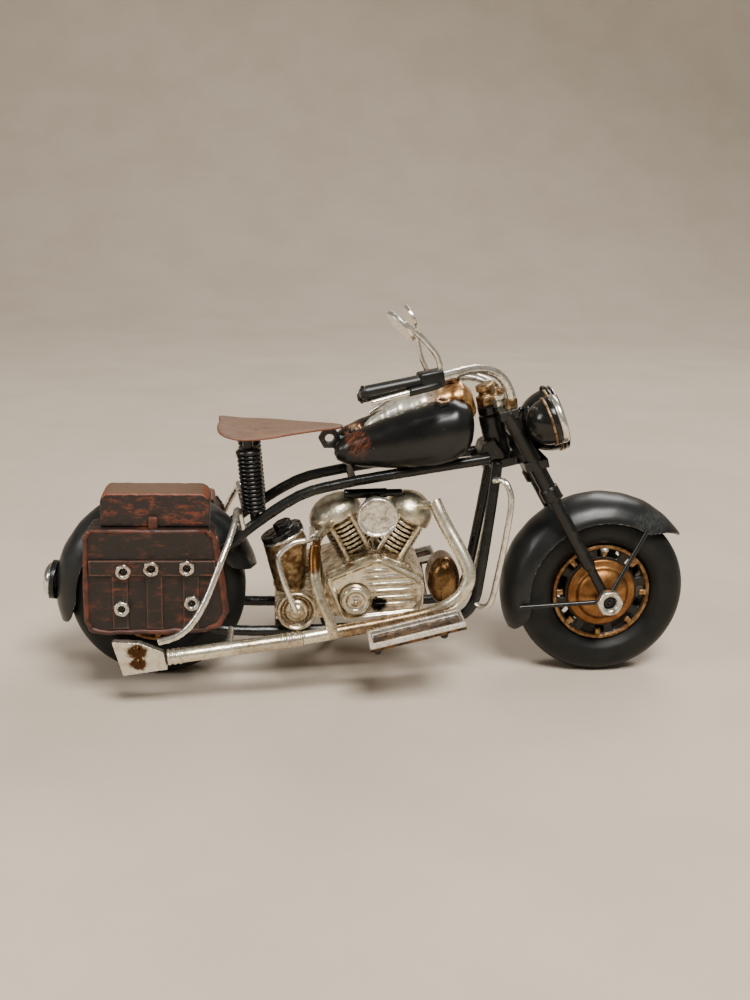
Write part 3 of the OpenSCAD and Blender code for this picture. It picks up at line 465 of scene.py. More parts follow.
def dress(made, material, body, stands_for=(), smooth=True):
    made.data.materials.clear()
    made.data.materials.append(MATS[material])
    made.data.polygons.foreach_set("use_smooth", [smooth] * len(made.data.polygons))
    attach(made, body)
    if stands_for:
        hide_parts(*stands_for)
    return made


def apply_modifiers(made):
    """Bakes the modifiers into the mesh, keeping its materials."""
    solved = made.evaluated_get(bpy.context.evaluated_depsgraph_get())
    mesh = bpy.data.meshes.new_from_object(solved)
    made.modifiers.clear()
    made.data = mesh
    mesh.polygons.foreach_set("use_smooth", [True] * len(mesh.polygons))
    return made


def unsettle(made, relax=0, lump=0.0, size=2.0):
    """Bakes in smoothing passes and a cloud-shaped unevenness of a height and size in millimetres."""
    if relax:
        soften = made.modifiers.new("soften", "SMOOTH")
        soften.factor = 0.5
        soften.iterations = relax
    if lump:
        cloud = bpy.data.textures.new("lumps", "CLOUDS")
        cloud.noise_scale = size * MM
        cloud.noise_depth = 3
        uneven = made.modifiers.new("uneven", "DISPLACE")
        uneven.texture = cloud
        uneven.texture_coords = "LOCAL"
        uneven.strength = lump * MM
    return apply_modifiers(made)


def cast_copy(node, material, voxel, relax=2, lump=0.0):
    """A CAD node as a cast or painted piece: rounded edges and an uneven skin, kept inside the node's box."""
    made = linked(node + "_skin", NODES[node].data.copy())
    remesh = made.modifiers.new("remesh", "REMESH")
    remesh.mode = "VOXEL"
    remesh.voxel_size = voxel * MM
    unsettle(made, relax, lump)
    low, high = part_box(node)
    for v in made.data.vertices:
        v.co = [min(max(c, a), b) for c, a, b in zip(v.co, low, high)]
    return dress(made, material, BODY_OF[node], (node,))


def rounded_route(points, steps=6):
    """Smooth route through the points."""
    route = []
    for i in range(len(points) - 1):
        a, b = points[max(i - 1, 0)], points[i]
        c, d = points[i + 1], points[min(i + 2, len(points) - 1)]
        for k in range(steps):
            t = k / steps
            route.append(0.5 * (2 * b + (c - a) * t + (2 * a - 5 * b + 4 * c - d) * t * t
                + (3 * b - a - 3 * c + d) * t ** 3))
    return route + [points[-1]]


def leaning(degrees):
    """Upright axis leaning back by an angle."""
    return Vector((-sin(radians(degrees)), 0, cos(radians(degrees))))


def line(points, steps=6):
    """Smooth route through points given in millimetres."""
    return rounded_route([at(*p) for p in points], steps)


def loft(rings, ends="capped"):
    """Verts and faces through closed rings of equal count; the ends are capped, open or joined."""
    n, rows = len(rings[0]), len(rings)
    verts = [v for ring in rings for v in ring]
    faces = [(i * n + k, i * n + (k + 1) % n, (i + 1) % rows * n + (k + 1) % n, (i + 1) % rows * n + k)
        for i in range(rows if ends == "joined" else rows - 1) for k in range(n)]
    if ends == "capped":
        faces += [tuple(range(n - 1, -1, -1)), tuple(range((rows - 1) * n, rows * n))]
    return verts, faces


def angles(count, start=0.0):
    """Angles evenly spaced round a circle."""
    return [2 * pi * k / count + start for k in range(count)]


def tube(route, radius, sides=12, flat=1.0):
    """Verts and faces of a tube along a route; radius in millimetres, or a function of the share along it."""
    rings, side, last = [], None, len(route) - 1
    for i, point in enumerate(route):
        ahead = (route[min(i + 1, last)] - route[max(i - 1, 0)]).normalized()
        if side is None:
            side = ahead.cross(Vector((0, 0, 1)) if abs(ahead.z) < 0.8 else Vector((0, 1, 0)))
        side = (side - ahead * side.dot(ahead)).normalized()
        up = ahead.cross(side)
        r = (radius(i / last) if callable(radius) else radius) * MM
        rings.append([point + r * (cos(a) * side + flat * sin(a) * up) for a in angles(sides)])
    return loft(rings)


def lathe(outline, centre, axis, segments=64):
    """Verts and faces of a closed outline of (radius, height) in millimetres turned round an axis."""
    axis = axis.normalized()
    side = axis.cross(Vector((0, 1, 0)) if abs(axis.y) < 0.8 else Vector((0, 0, 1))).normalized()
    up = axis.cross(side)
    return loft([[centre + (r * (cos(a) * side + sin(a) * up) + h * axis) * MM for r, h in outline]
        for a in angles(segments)], "joined")


BOX_FACES = [(0, 1, 3, 2), (4, 6, 7, 5), (0, 4, 5, 1), (2, 3, 7, 6), (0, 2, 6, 4), (1, 5, 7, 3)]


def block(low, high):
    """Verts and faces of a box between two corners in millimetres."""
    return [at(*corner) for corner in product(*zip(low, high))], BOX_FACES


def together(parts):
    """Several sets of verts and faces as one."""
    verts, faces = [], []
    for more_verts, more_faces in parts:
        base = len(verts)
        verts += list(more_verts)
        faces += [tuple(base + i for i in f) for f in more_faces]
    return verts, faces


def bevel(made, width, segments=2, angle=35):
    rounding = made.modifiers.new("bevel", "BEVEL")
    rounding.width = width * MM
    rounding.segments = segments
    rounding.limit_method = "ANGLE"
    rounding.angle_limit = radians(angle)
    return apply_modifiers(made)


def interpolate(stations, x):
    """Smoothly interpolated values between (x, value, ...) stations."""
    for (x0, *a), (x1, *b) in zip(stations, stations[1:]):
        if x <= x1:
            t = min(max((x - x0) / (x1 - x0), 0), 1)
            t = t * t * (3 - 2 * t) * 0.5 + t * 0.5
            return [u + (v - u) * t for u, v in zip(a, b)]
    return list(stations[-1][1:])


# ---- wheels ----


def tyre(name, node, centre, body):
    tread, bead, half_w = 23.99, 14.0, 7.49
    middle_r, half_h = (tread + bead) / 2 - 0.2, (tread - bead) / 2 + 0.55
    outline = []
    for a in angles(56):
        ca, sa = cos(a), sin(a)
        r = middle_r + half_h * copysign(abs(ca) ** 0.85, ca)
        y = half_w * copysign(abs(sa) ** 0.85, sa)
        outline.append((min(tread, max(bead, r)), y))
    # A fine raised moulding line on each side wall
    outline = [(r, y + copysign(0.14, y) if 16.2 < r < 16.9 and abs(y) > 4 else y) for r, y in outline]
    verts, faces = lathe(outline, centre, Vector((0, 1, 0)), 128)
    piece(name, verts, faces, "tyre", body, "tyre_rubber", (node,))


def hex_nut(centre, axis, flats, height, bore, turn=0.0):
    """Verts and faces of a hexagonal nut with turned-down corners and an open bore, standing on centre."""
    axis = axis.normalized()
    side = axis.cross(Vector((0, 0, 1)) if abs(axis.z) < 0.8 else Vector((1, 0, 0))).normalized()
    up = axis.cross(side)
    count = 48

    def hexagon(i):
        a = radians((360 * i / count + 30) % 60 - 30)
        return flats / 2 / cos(a)

    levels = [
        (hexagon, 0), (hexagon, height * 0.78), (lambda i: min(hexagon(i), flats * 0.51), height * 0.97),
        (lambda i: flats * 0.46, height), (lambda i: bore * 1.2, height), (lambda i: bore, height * 0.86),
        (lambda i: bore, height * 0.2)
    ]
    turns = list(enumerate(angles(count, radians(turn))))
    return loft([[centre + (radius(i) * (cos(a) * side + sin(a) * up) + h * axis) * MM for i, a in turns]
        for radius, h in levels])


def plug(centre, axis, radius, low, high):
    """Verts and faces of a round plug along an axis, for the dark inside of a bore."""
    return lathe([(0.01, low), (radius, low), (radius, high), (0.01, high - 0.15)], centre, axis, 24)


def wheel_details(end, centre, body):
    studs = []
    for k in range(8):
        turn = Matrix.Rotation(radians(45 * k), 4, "Y")
        for side in (-1, 1):
            shape, faces = block((-0.75, 4.6, 11.0), (0.75, 5.75, 13.0))
            verts = [centre + turn @ (Vector((v.x - MID_X, side * v.y, v.z))) for v in shape]
            studs.append((verts, faces))
    bevel(piece(end + "_rim_studs", *together(studs), "stud", body, "bronze", smooth=False), 0.25)
    outline = [(2.4, 5.05), (9.7, 5.05), (9.75, 5.5), (9.3, 5.8), (7.9, 5.95), (7.5, 6.3)]
    outline += [(7.4 * cos(radians(a)), 6.1 + 3.1 * sin(radians(a))) for a in range(8, 71, 6)]
    outline.append((2.4, 9.1))
    bowls = [lathe(outline, centre, Vector((0, side, 0)), 96) for side in (-1, 1)]
    piece(end + "_hub_bowls", *together(bowls), "hub", body, "bronze", (end + "_hub_caps",))
    stem_foot = centre + Vector((0, -5.2, 12.9)) * MM
    outline = [(0.01, -3.4), (0.5, -3.4), (0.6, -2.4), (0.9, -2.2), (1.0, -0.9), (1.25, -0.7), (1.25, 0.4),
        (0.01, 0.4)]
    verts, faces = lathe(outline, stem_foot, Vector((0, -0.25, 1)), 20)
    piece(end + "_valve_stem", verts, faces, "nut", body, "steel")


for end, centre in (("front", FRONT_AXLE), ("rear", REAR_AXLE)):
    body = end + "_wheel"
    tyre(end + "_tyre_rubber", end + "_tyre", centre, body)
    cast_copy(end + "_rim", end + "_rim", 0.28)
    wheel_details(end, centre, body)

nuts, bores = [], []
for side in (-1, 1):
    foot = FRONT_AXLE + Vector((0, side * 12.75, 0)) * MM
    outward = Vector((0, side, 0))
    nuts.append(hex_nut(foot, outward, 6.6, 2.5, 1.9, 90))
    bores.append(plug(foot, outward, 1.92, -0.4, 1.2))
piece("axle_hex_nuts", *together(nuts), "nut", "steering", "steel", ("axle_nuts",))
piece("axle_nut_bores", *together(bores), "gloss", "steering", "steel")


# ---- fenders ----


def fender(name, node, centre, start, finish, front_taper, rear_taper, body):
    """Pressed shell over a wheel, from one angle to another, with a round rear end.

    The front end runs to a point over front_taper degrees, or is round if that is 0.
    """
    crown, skirt, half_w, thick = 27.95, 21.3, 9.25, 0.75
    round_front, along, across = 15, 120, 30
    rings = []
    for i in range(along + 1):
        angle = start + (finish - start) * i / along
        rear = min((finish - angle) / rear_taper, 1)
        if front_taper:
            front = min((angle - start) / front_taper, 1) ** 0.75
            close = sqrt(1 - (1 - rear) ** 2)
        else:
            front = sqrt(1 - (1 - min((angle - start) / round_front, 1)) ** 2)
            close = max(rear, 0) ** 0.23
        open_out = max(front * close, 0.02)
        a = radians(angle)
        out = Vector((cos(a), 0, sin(a)))
        skins = []
        for inset in (0.0, thick):
            row = []
            for j in range(across + 1):
                b = radians(90) * open_out * (2 * j / across - 1)
                flare = 0.35 * max(0, abs(sin(b)) - 0.93) / 0.07
                r = skirt + (crown - inset - skirt) * cos(b)
                y = (half_w - inset - 0.3 + flare) * sin(b)
                wave = 0.1 * sin(angle * 0.31 + 3 * b) * sin(angle * 0.11 + 1)
                row.append(centre + out * (r + wave * cos(b)) * MM + Vector((0, y * MM, 0)))
            skins.append(row)
        rings.append(skins[0] + skins[1][::-1])
    verts, faces = loft(rings, "open")
    n = len(rings[0])
    faces += [(i + j, i + j + 1, i + n - 2 - j, i + n - 1 - j) for i in (0, along * n) for j in range(across)]
    return bevel(piece(name, verts, faces, "fender", body, "black_paint", (node,)), 0.2, angle=50)


fender("front_fender_shell", "front_fender", FRONT_AXLE, 34, 206, 24, 15, "steering")
fender("rear_fender_shell", "rear_fender", REAR_AXLE, 14, 199.5, 0, 17, "chassis")


# ---- tank and seat ----


def tank_half(side):
    """One pressed half. Stations: x, bottom, top, middle y, half width."""
    stations = [
        (-14.5, 63.3, 65.0, 5.0, 1.0), (-13.6, 61.7, 66.8, 5.0, 2.9), (-11, 60.6, 69.0, 5.1, 4.4),
        (-6, 60.1, 71.3, 5.4, 5.6), (0, 60.0, 73.9, 5.8, 6.5), (6, 60.2, 76.3, 6.3, 7.3),
        (12, 60.9, 78.4, 6.7, 7.8), (17, 62.2, 79.3, 6.8, 7.7), (20.4, 64.2, 78.3, 6.7, 6.7),
        (22.0, 66.6, 76.4, 6.6, 5.0), (22.6, 69.4, 74.0, 6.5, 2.4)
    ]
    rings, steps = [], 64
    tail, nose = stations[0][0], stations[-1][0]
    for i in range(steps + 1):
        x = tail + (nose - tail) * (0.5 - 0.5 * cos(pi * i / steps))
        bottom, top, mid_y, half = interpolate(stations, x)
        ring = []
        for a in angles(44):
            ca, sa = cos(a), sin(a)
            y = mid_y + half * copysign(abs(ca) ** 0.92, ca)
            z = (bottom + top) / 2 + (top - bottom) / 2 * copysign(abs(sa) ** 0.88, sa)
            ring.append(at(x, side * max(y, 0.08), z))
        rings.append(ring)
    return loft(rings)


tank = piece("tank_halves", *together([tank_half(-1), tank_half(1)]), "tank", "chassis", "black_paint",
    ("tank_shells",))
unsettle(tank, 6)


def tank_ridge():
    """The raised strip along the seam, with an uneven edge. Stations: x, top, half width, edge height."""
    stations = [
        (-6.2, 70.6, 1.4, 68.6), (-4.4, 72.6, 2.0, 70.6), (-1.5, 74.6, 2.5, 72.0), (-0.4, 76.4, 3.6, 72.8),
        (3, 78.2, 4.6, 74.0), (8.8, 80.4, 5.6, 76.4), (14.1, 81.7, 6.3, 77.9), (19.5, 83.2, 6.3, 78.4),
        (22.4, 80.8, 5.6, 76.6), (23.8, 76.8, 3.8, 75.0)
    ]
    rings, steps = [], 72
    tail, nose = stations[0][0], stations[-1][0]
    for i in range(steps + 1):
        x = tail + (nose - tail) * i / steps
        top, half, edge = interpolate(stations, x)
        ragged = 1 + 0.03 * sin(1.1 * x) + 0.02 * sin(2.9 * x + 1)
        ring = [at(x, half * ragged * cos(a), edge + (top - edge) * sin(a) ** 0.85)
            for a in (pi * k / 24 for k in range(25))]
        ring += [at(x, y, edge - 2.2) for y in (-half * 0.6, half * 0.6)]
        rings.append(ring)
    return loft(rings)


spine = piece("tank_seam_ridge", *tank_ridge(), "spine", "chassis", "antique_silver", ("tank_spine",))
unsettle(spine, 3, 0.35, 1.6)


def tank_caps():
    """A nut on each half, a round cap on the ridge and one on the tail."""
    caps = [hex_nut(at(13.6, side * 8.6, 77.0), Vector((0, side * 0.21, 0.98)), 3.9, 2.5, 0.85, 15)
        for side in (-1, 1)]
    for foot, radius, height, lean in (
            (at(17.2, 0, 82.6), 2.3, 2.3, 0), (at(-8.4, -3, 67.4), 1.9, 3.7, -0.2)):
        outline = [(0.01, 0), (radius, 0), (radius, height * 0.6), (radius * 0.8, height),
            (radius * 0.4, height * 0.9), (0.01, height * 0.9)]
        caps.append(lathe(outline, foot, Vector((lean, 0, 1)), 40))
    return together(caps)


piece("tank_cap_nuts", *tank_caps(), "cap", "chassis", "bronze", ("tank_caps",))


def seat_sheet():
    """Thin sheet over the CAD seat's outline, dished in the middle and curled up at the back."""
    outline = [(-12, 0.1), (-13, 2.2), (-18.5, 4.6), (-26, 8.6), (-31, 11.6), (-36, 13.3), (-41, 13.6),
        (-44.6, 11.6), (-45.7, 7), (-45.3, 0.1)]
    edge = rounded_route([Vector((x, y, 0)) for x, y in outline], 5)
    edge = edge + [Vector((p.x, -p.y, 0)) for p in reversed(edge)]
    centre, thick = Vector((-34, 0, 0)), 0.9
    shares = (0.0, 0.25, 0.5, 0.7, 0.85, 0.95, 1.0)

    def row(share, face):
        """Ring at a share of the way to the rim, on the upper (1) or lower (-1) face."""
        ring = []
        for rim in edge:
            p = centre + (rim - centre) * share
            curl = 1.1 * max(0, (-38 - p.x) / 7.7) ** 2
            droop = -0.9 * (abs(p.y) / 13.6) ** 2
            height = 69.75 + curl + droop - 0.35 * (1 - share) ** 2 + 0.25 * max(0, (p.x + 24) / 12)
            ring.append(at(p.x, p.y, height + face * thick / 2 * (1 if share < 1 else 0.55)))
        return ring

    return loft([row(share, 1) for share in shares] + [row(share, -1) for share in shares[::-1]], "open")


seat = piece("seat_sheet", *seat_sheet(), "seat", "chassis", "seat_paint", ("seat_pan",))
weld = seat.modifiers.new("weld", "WELD")
weld.merge_threshold = 0.02 * MM
apply_modifiers(seat)


def springs():
    """Close-wound coil round each seat post."""
    parts = []
    foot, top = at(-35.75, 0, 47.9), at(-37.35, 0, 63.6)
    for side in (-1, 1):
        route = []
        turns, per_turn = 14, 18
        for i in range(turns * per_turn + 1):
            t = i / (turns * per_turn)
            a = 2 * pi * i / per_turn
            spot = foot.lerp(top, t) + Vector((0, side * 8 * MM, 0))
            route.append(spot + Vector((cos(a), sin(a), 0)) * 2.75 * MM)
        parts.append(tube(route, 0.5, 8))
    return together(parts)


piece("seat_spring_coils", *springs(), "gloss", "chassis", "black_paint", ("seat_springs",))
cups = [lathe([(1.4, 0), (3.3, 0), (3.4, 0.9), (2.6, 1.5), (1.4, 1.6)], at(-37.4, side * 8, 63.9),
    Vector((-0.1, 0, 1)), 32) for side in (-1, 1)]
piece("seat_spring_cups", *together(cups), "frame", "chassis", "black_paint")


# ---- engine, exhaust and small castings ----

for node, *settings in (
    ("crankcase", "case", 0.34, 8, 0.35), ("cylinders", "fin", 0.16, 1, 0.1),
    ("rocker_boxes", "dome", 0.24, 3, 0.25), ("pushrod_tubes", "cast", 0.14, 2, 0.1),
    ("ignition_coil", "gloss", 0.15, 2, 0.08), ("oil_tank", "mottled", 0.24, 4, 0.45),
    ("oil_cap", "gloss", 0.18, 2, 0.2), ("oil_pipe", "wire", 0.16, 2, 0.15),
    ("primary_cover", "cast", 0.28, 6, 0.25), ("silencer", "silencer", 0.18, 1, 0.12),
    ("fishtail", "fishtail", 0.2, 3, 0.2), ("footboards", "board", 0.22, 1, 0.15),
    ("front_guards", "guard", 0.17, 2, 0.16), ("rear_guards", "guard", 0.17, 2, 0.16),
    ("tail_lamp", "frame", 0.2, 3), ("tail_lens", "lens", 0.18), ("head_lug", "frame", 0.2, 12, 0.15),
    ("top_tubes", "frame", 0.24, 2, 0.1), ("cradle_tubes", "frame", 0.24, 2, 0.1),
    ("frame_plates", "frame", 0.2), ("cross_bars", "frame", 0.2), ("seat_nut", "frame", 0.13),
    ("rear_axle", "nut", 0.15, 1), ("side_stand", "frame", 0.18), ("steering_stem", "riser", 0.18, 2, 0.15),
    ("fork_clamps", "fork", 0.2, 8, 0.12), ("fork_legs", "fork", 0.2, 1, 0.08),
    ("fender_stays", "fork", 0.14, 1), ("front_axle", "nut", 0.15, 1), ("headlight_bowl", "gloss", 0.2),
    ("headlight_lens", "lens", 0.2), ("side_lamps", "gloss", 0.2), ("handlebar", "wire", 0.2, 2, 0.15),
    ("grips", "grip", 0.18), ("levers", "wire", 0.15, 2, 0.12), ("mirrors", "wire", 0.16, 2, 0.14),
    ("saddlebags", "bag", 0.36, 10, 0.5), ("bag_lids", "lid", 0.3, 24, 0.3),
    ("bag_straps", "strap", 0.18, 2, 0.15),
):
    cast_copy(node, *settings)


# ---- engine details ----


def cover_face():
    """Five-sided pressed cover: raised border, a field with level ribs and a landing for the boss."""
    corners = [(-16.9, 31.2), (-2.6, 37.4), (10.3, 30.9), (10.0, 21.8), (-11.8, 19.4)]
    middle_x, middle_z, rounding = -2.6, 28.0, 1.6
    outline = []
    for i, (x, z) in enumerate(corners):
        before, after = Vector(corners[i - 1]), Vector(corners[(i + 1) % 5])
        corner = Vector((x, z))
        start = corner + (before - corner).normalized() * rounding
        end = corner + (after - corner).normalized() * rounding
        for k in range(9):
            t = k / 8
            outline.append((1 - t) ** 2 * start + 2 * t * (1 - t) * corner + t * t * end)
        following = Vector(corners[(i + 1) % 5])
        run_end = following + (corner - following).normalized() * rounding
        for k in range(1, 20):
            outline.append(end.lerp(run_end, k / 20))
    shares = [1.0, 1.0, 0.995, 0.98, 0.96, 0.93, 0.9, 0.87, 0.845] + [0.82 - 0.02 * i for i in range(41)]
    depths = [11.8, 14.2, 14.8, 15.2, 15.4, 15.4, 15.2, 14.9, 14.75]
    rings = []
    for j, share in enumerate(shares):
        ring = []
        for p in outline:
            x = middle_x + (p.x - middle_x) * share
            z = middle_z + (p.y - middle_z) * share
            y = depths[j] if j < len(depths) else 14.7
            if j >= 8:
                from_boss = hypot(x + 8.6, z - 25.8)
                fade = min(1, max(0, (from_boss - 4.6) / 1.6)) * min(1, max(0, (0.83 - share) / 0.13))
                fade *= min(1, max(0, (x + 8.5) / 5)) * min(1, max(0, (z - 22.7) / 0.7))
                row = (z - 21.6 - 0.06 * x) / 1.95
                y += 0.28 * fade * max(0, sin(2 * pi * row))
            ring.append(at(x, -y, z))
        rings.append(ring)
    return loft(rings)


boss = at(-8.6, 0, 25.8)
RIGHTWARD = Vector((0, -1, 0))
bowl = lathe([(0.01, 15), (4.3, 15), (4.2, 15.8), (3.9, 16.9), (3.5, 17.5), (3.0, 17.6), (2.5, 17.3),
    (2.1, 17.0), (1.6, 17.05), (1.0, 17.3), (0.01, 17.35)], boss, RIGHTWARD, 64)
cover = piece("cover_face", *together([cover_face(), bowl]), "cover", "chassis", "antique_silver",
    ("gearcase_cover",))
unsettle(cover, 0, 0.12, 1.8)
pits = [plug(boss + Vector((0.55 * x, 0, 0.5 * z)) * MM, RIGHTWARD, 0.2, 17.0, 17.45)
    for x, z in ((-1, 1), (1, 0.8), (-0.8, -1), (0.9, -1))]
piece("cover_boss_pits", *together(pits), "gloss", "chassis", "antique_silver")

face = [(0.02 + 0.28 * i, 16.55) for i in range(16)]
outline = face + [(4.55, 16.7), (4.8, 17.0), (5.1, 17.1), (5.4, 16.8), (5.45, 15.2), (5.2, 14.2), (3.2, 13.7),
    (3, 4.6), (0.02, 4.5)]
cleaner = piece("air_cleaner_drum", *lathe(outline, at(-3.3, 0, 48.9), RIGHTWARD, 96), "cleaner", "chassis",
    "antique_silver", ("air_cleaner",))
unsettle(cleaner, 0, 0.42, 1.1)

outline = [(0.01, 12), (2, 12), (2, 14.4), (5.2, 14.4), (5.4, 15.2), (5.35, 16.4), (5.0, 16.85), (4.6, 16.7),
    (4.2, 15.6), (3.7, 15.3), (3.2, 15.5), (2.9, 16.4), (2.4, 16.6), (2.0, 16.4), (1.75, 17.3), (0.5, 17.6),
    (0.01, 17.6)]
piece("kick_disc", *lathe(outline, at(-24.3, 0, 22.6), RIGHTWARD, 72), "cast", "chassis", "antique_silver",
    ("kick_gear",))


def bulge():
    """Generator housing: a smooth egg-shaped swelling of the crankcase."""
    rings = []
    for i in range(29):
        a = radians(90 * i / 28)
        share = cos(a) ** 0.8 if i < 28 else 0.01
        y = -9.2 - 4.3 * sin(a)
        rings.append([at(16.1 + 4.4 * share * cos(t), y, 29.1 + 6.8 * share * sin(t)) for t in angles(48)])
    return loft([[Vector((v.x, -3.6 * MM, v.z)) for v in rings[0]]] + rings)


egg = piece("generator_housing", *bulge(), "bulge", "chassis", "bronze", ("generator",))
unsettle(egg, 0, 0.5, 4)

front_run = line([(12.1, -12.8, 52.6), (13.5, -14.4, 49.6), (15.6, -16, 45.7), (18.9, -19, 40.2),
    (20.8, -21, 35.9), (20.6, -22, 32.2), (18, -21.8, 28), (12, -21.2, 24.3), (0, -21.4, 21.4),
    (-12, -21.9, 19.2), (-23, -23.6, 17.8)], 8)
front_port = line([(9.6, -5, 49.2), (11.2, -10, 50.6), (12.6, -13.4, 51.0)])
rear_run = line([(-19.5, -15.8, 41.0), (-19.9, -17, 38), (-19.7, -19.6, 33), (-18.2, -21.2, 28),
    (-16, -22.6, 23), (-14.7, -23.3, 18.2)], 8)
rear_port = line([(-14.6, -5.5, 44.4), (-18.6, -12, 42), (-19.6, -16.4, 39.4)])
piece("front_header", *together([tube(front_run, 1.82, 24, 0.92), tube(front_port, 1.2, 16)]), "header",
    "chassis", "antique_silver", ("exhaust_headers",))
piece("rear_header", *together([tube(rear_run, 1.5, 24, 0.88), tube(rear_port, 1.15, 16)]), "rear_header",
    "chassis", "antique_silver")

CAP_TILT = 24
ring = [(5.3, -0.9), (5.85, -0.7), (6.0, -0.3), (5.85, 0.1), (5.3, 0.2)]
piece("oil_cap_ring", *lathe(ring, at(-28, -6, 40.9), leaning(CAP_TILT), 64), "wire", "chassis",
    "antique_silver")

rivets = []
for side in (-1, 1):
    for x in (-3.6, 13.6):
        foot = at(x, side * 30.6, 17.2 + (x + 5.6) * tan(radians(BOARD_SLOPE)))
        rivets.append(lathe([(0.01, -1.6), (0.8, -1.5), (1.1, -1.0), (1.1, 0.4), (0.01, 0.4)], foot,
            Vector((0, 0, 1)), 20))
piece("footboard_rivets", *together(rivets), "gloss", "chassis", "steel")

# ---- luggage details ----

POUCH = [(-77.4, 47.2), (-78.3, 45.4), (-78.5, 34), (-78.5, 23), (-77.5, 20.9), (-75.4, 19.9), (-60, 20.1),
    (-48.2, 20.5), (-44.8, 22), (-43.2, 25), (-44.6, 36), (-46.0, 45.6), (-47.4, 47.2)]


def bag_line(points, side, y, drop, radius):
    route = []
    for (x0, z0), (x1, z1) in zip(points, points[1:]):
        for k in range(6):
            t = k / 6
            x, z = x0 + (x1 - x0) * t, z0 + (z1 - z0) * t
            waver = 0.16 * sin(1.3 * x + 0.9 * z) + 0.1 * sin(2.9 * z - x)
            route.append(at(x, side * (y + 0.6 * waver), z - drop + waver))
    route.append(at(points[-1][0], side * y, points[-1][1] - drop))
    return tube(route, lambda t: radius * (1 + 0.12 * sin(40 * t)), 10)


piping, tabs, red_nuts, plain_nuts, holes = [], [], [], [], []
for side, drop in ((-1, 0), (1, 4)):
    piping.append(bag_line(POUCH, side, 23.9, drop, 0.72))
    piping.append(bag_line([(-77, 47.1), (-47.8, 47.1)], side, 23.5, drop, 0.6))
    piping.append(bag_line([(x + 0.5, z) for x, z in POUCH[7:12]], side, 22.3, drop, 0.6))
    tabs.append(block((-62.6, side * 21.2, 46.9 - drop), (-60.2, side * 22.9, 50.6 - drop)))
    outward = Vector((0, side, 0))
    for group, places, y, bore, turn, depth in (
            (red_nuts, ((-68.8, 37), (-61.8, 37.8), (-52.8, 38)), 24.9, 1.05, 8, 0.6),
            (plain_nuts, ((-69.4, 26.9), (-51.6, 28.4)), 24.6, 0.95, 5, 0.9)):
        for x, z in places:
            foot = at(x, side * y, z - drop)
            group.append(hex_nut(foot, outward, 3.7, 1.45, bore, turn * x))
            holes.append(plug(foot, outward, bore + 0.02, -0.2, depth))
piece("bag_piping", *together(piping), "piping", "chassis", "bag_paint")
bevel(piece("bag_latch_tabs", *together(tabs), "piping", "chassis", "bag_paint", smooth=False), 0.4, 3)
piece("bag_upper_nuts", *together(red_nuts), "red_nut", "chassis", "steel", ("bag_buckles",))
piece("bag_lower_nuts", *together(plain_nuts), "nut", "chassis", "steel")
piece("bag_nut_holes", *together(holes), "gloss", "chassis", "steel")

# ---- lamps and bars ----

LAMP_TILT, STEM_RAKE = 20, 15
LAMP, LAMP_UP = at(45.8, 0, 72.7), leaning(LAMP_TILT)
LAMP_AXIS = Vector((LAMP_UP.z, 0, -LAMP_UP.x))


def ring_of(radius, height, thick, wide):
    """Outline of a rounded ring for a lathe."""
    return [(radius + thick * cos(a), height + wide * sin(a)) for a in angles(14)]


top_knob = lathe([(0.01, -1.2), (0.75, -1.2), (0.8, 0.3), (0.55, 0.6), (0.01, 0.65)],
    LAMP + (LAMP_UP * 9.2 + LAMP_AXIS * -0.3) * MM, LAMP_UP, 20)
back_knob = lathe([(0.01, -1), (0.6, -1), (0.6, 0.5), (0.01, 0.7)],
    LAMP + (LAMP_UP * 5.6 - LAMP_AXIS * 7.6) * MM, LAMP_UP - 0.6 * LAMP_AXIS, 16)
piece("headlight_screws", *together([top_knob, back_knob]), "gloss", "steering", "black_paint")

SPOT = at(41.4, -15.2, 75.2)
for name, outline, centre, segments, material, slot, *node in (
    ("headlight_bezel", [(7.6, 0.05), (8.8, 0.05), (9.15, 0.35), (9.15, 0.8), (8.75, 1.1), (8.75, 1.3),
                         (9.1, 1.5), (8.9, 2.0), (8.3, 2.3), (7.6, 2.3)], LAMP, 96, "gloss", "bronze",
     "headlight_rim"),
    ("headlight_gold_ring", ring_of(8.85, -0.35, 0.32, 0.4), LAMP, 96, "riser", "bronze"),
    ("headlight_edge_ring", ring_of(8.8, 1.75, 0.3, 0.25), LAMP, 96, "wire", "bronze"),
    ("spot_lamp_back_ring", ring_of(6.35, -0.35, 0.28, 0.35), SPOT, 72, "riser", "bronze"),
    ("spot_lamp_bezel", [(5.2, 1.25), (6.2, 1.3), (6.65, 1.8), (6.7, 2.5), (6.3, 3.1), (5.6, 3.3),
                         (5.2, 3.1)], SPOT, 72, "guard", "bronze"),
    ("spot_lamp_glass", [(0.01, 2.6), (5.3, 2.6), (5.1, 3.1), (4, 3.55), (2.2, 3.9), (0.01, 4.0)], SPOT, 64,
     "lens", "lens"),
):
    piece(name, *lathe(outline, centre, LAMP_AXIS, segments), material, "steering", slot, node)


def bar_block(start, end, begin, length, width, height):
    """Verts and faces of a square clamp along the line from start to end."""
    ahead = (end - start).normalized()
    side = ahead.cross(Vector((0, 0, 1))).normalized()
    up = side.cross(ahead)
    verts = [start + (ahead * (begin + length * i) + side * width / 2 * j + up * height / 2 * k) * MM
        for i in (0, 1) for j in (-1, 1) for k in (-1, 1)]
    return verts, BOX_FACES


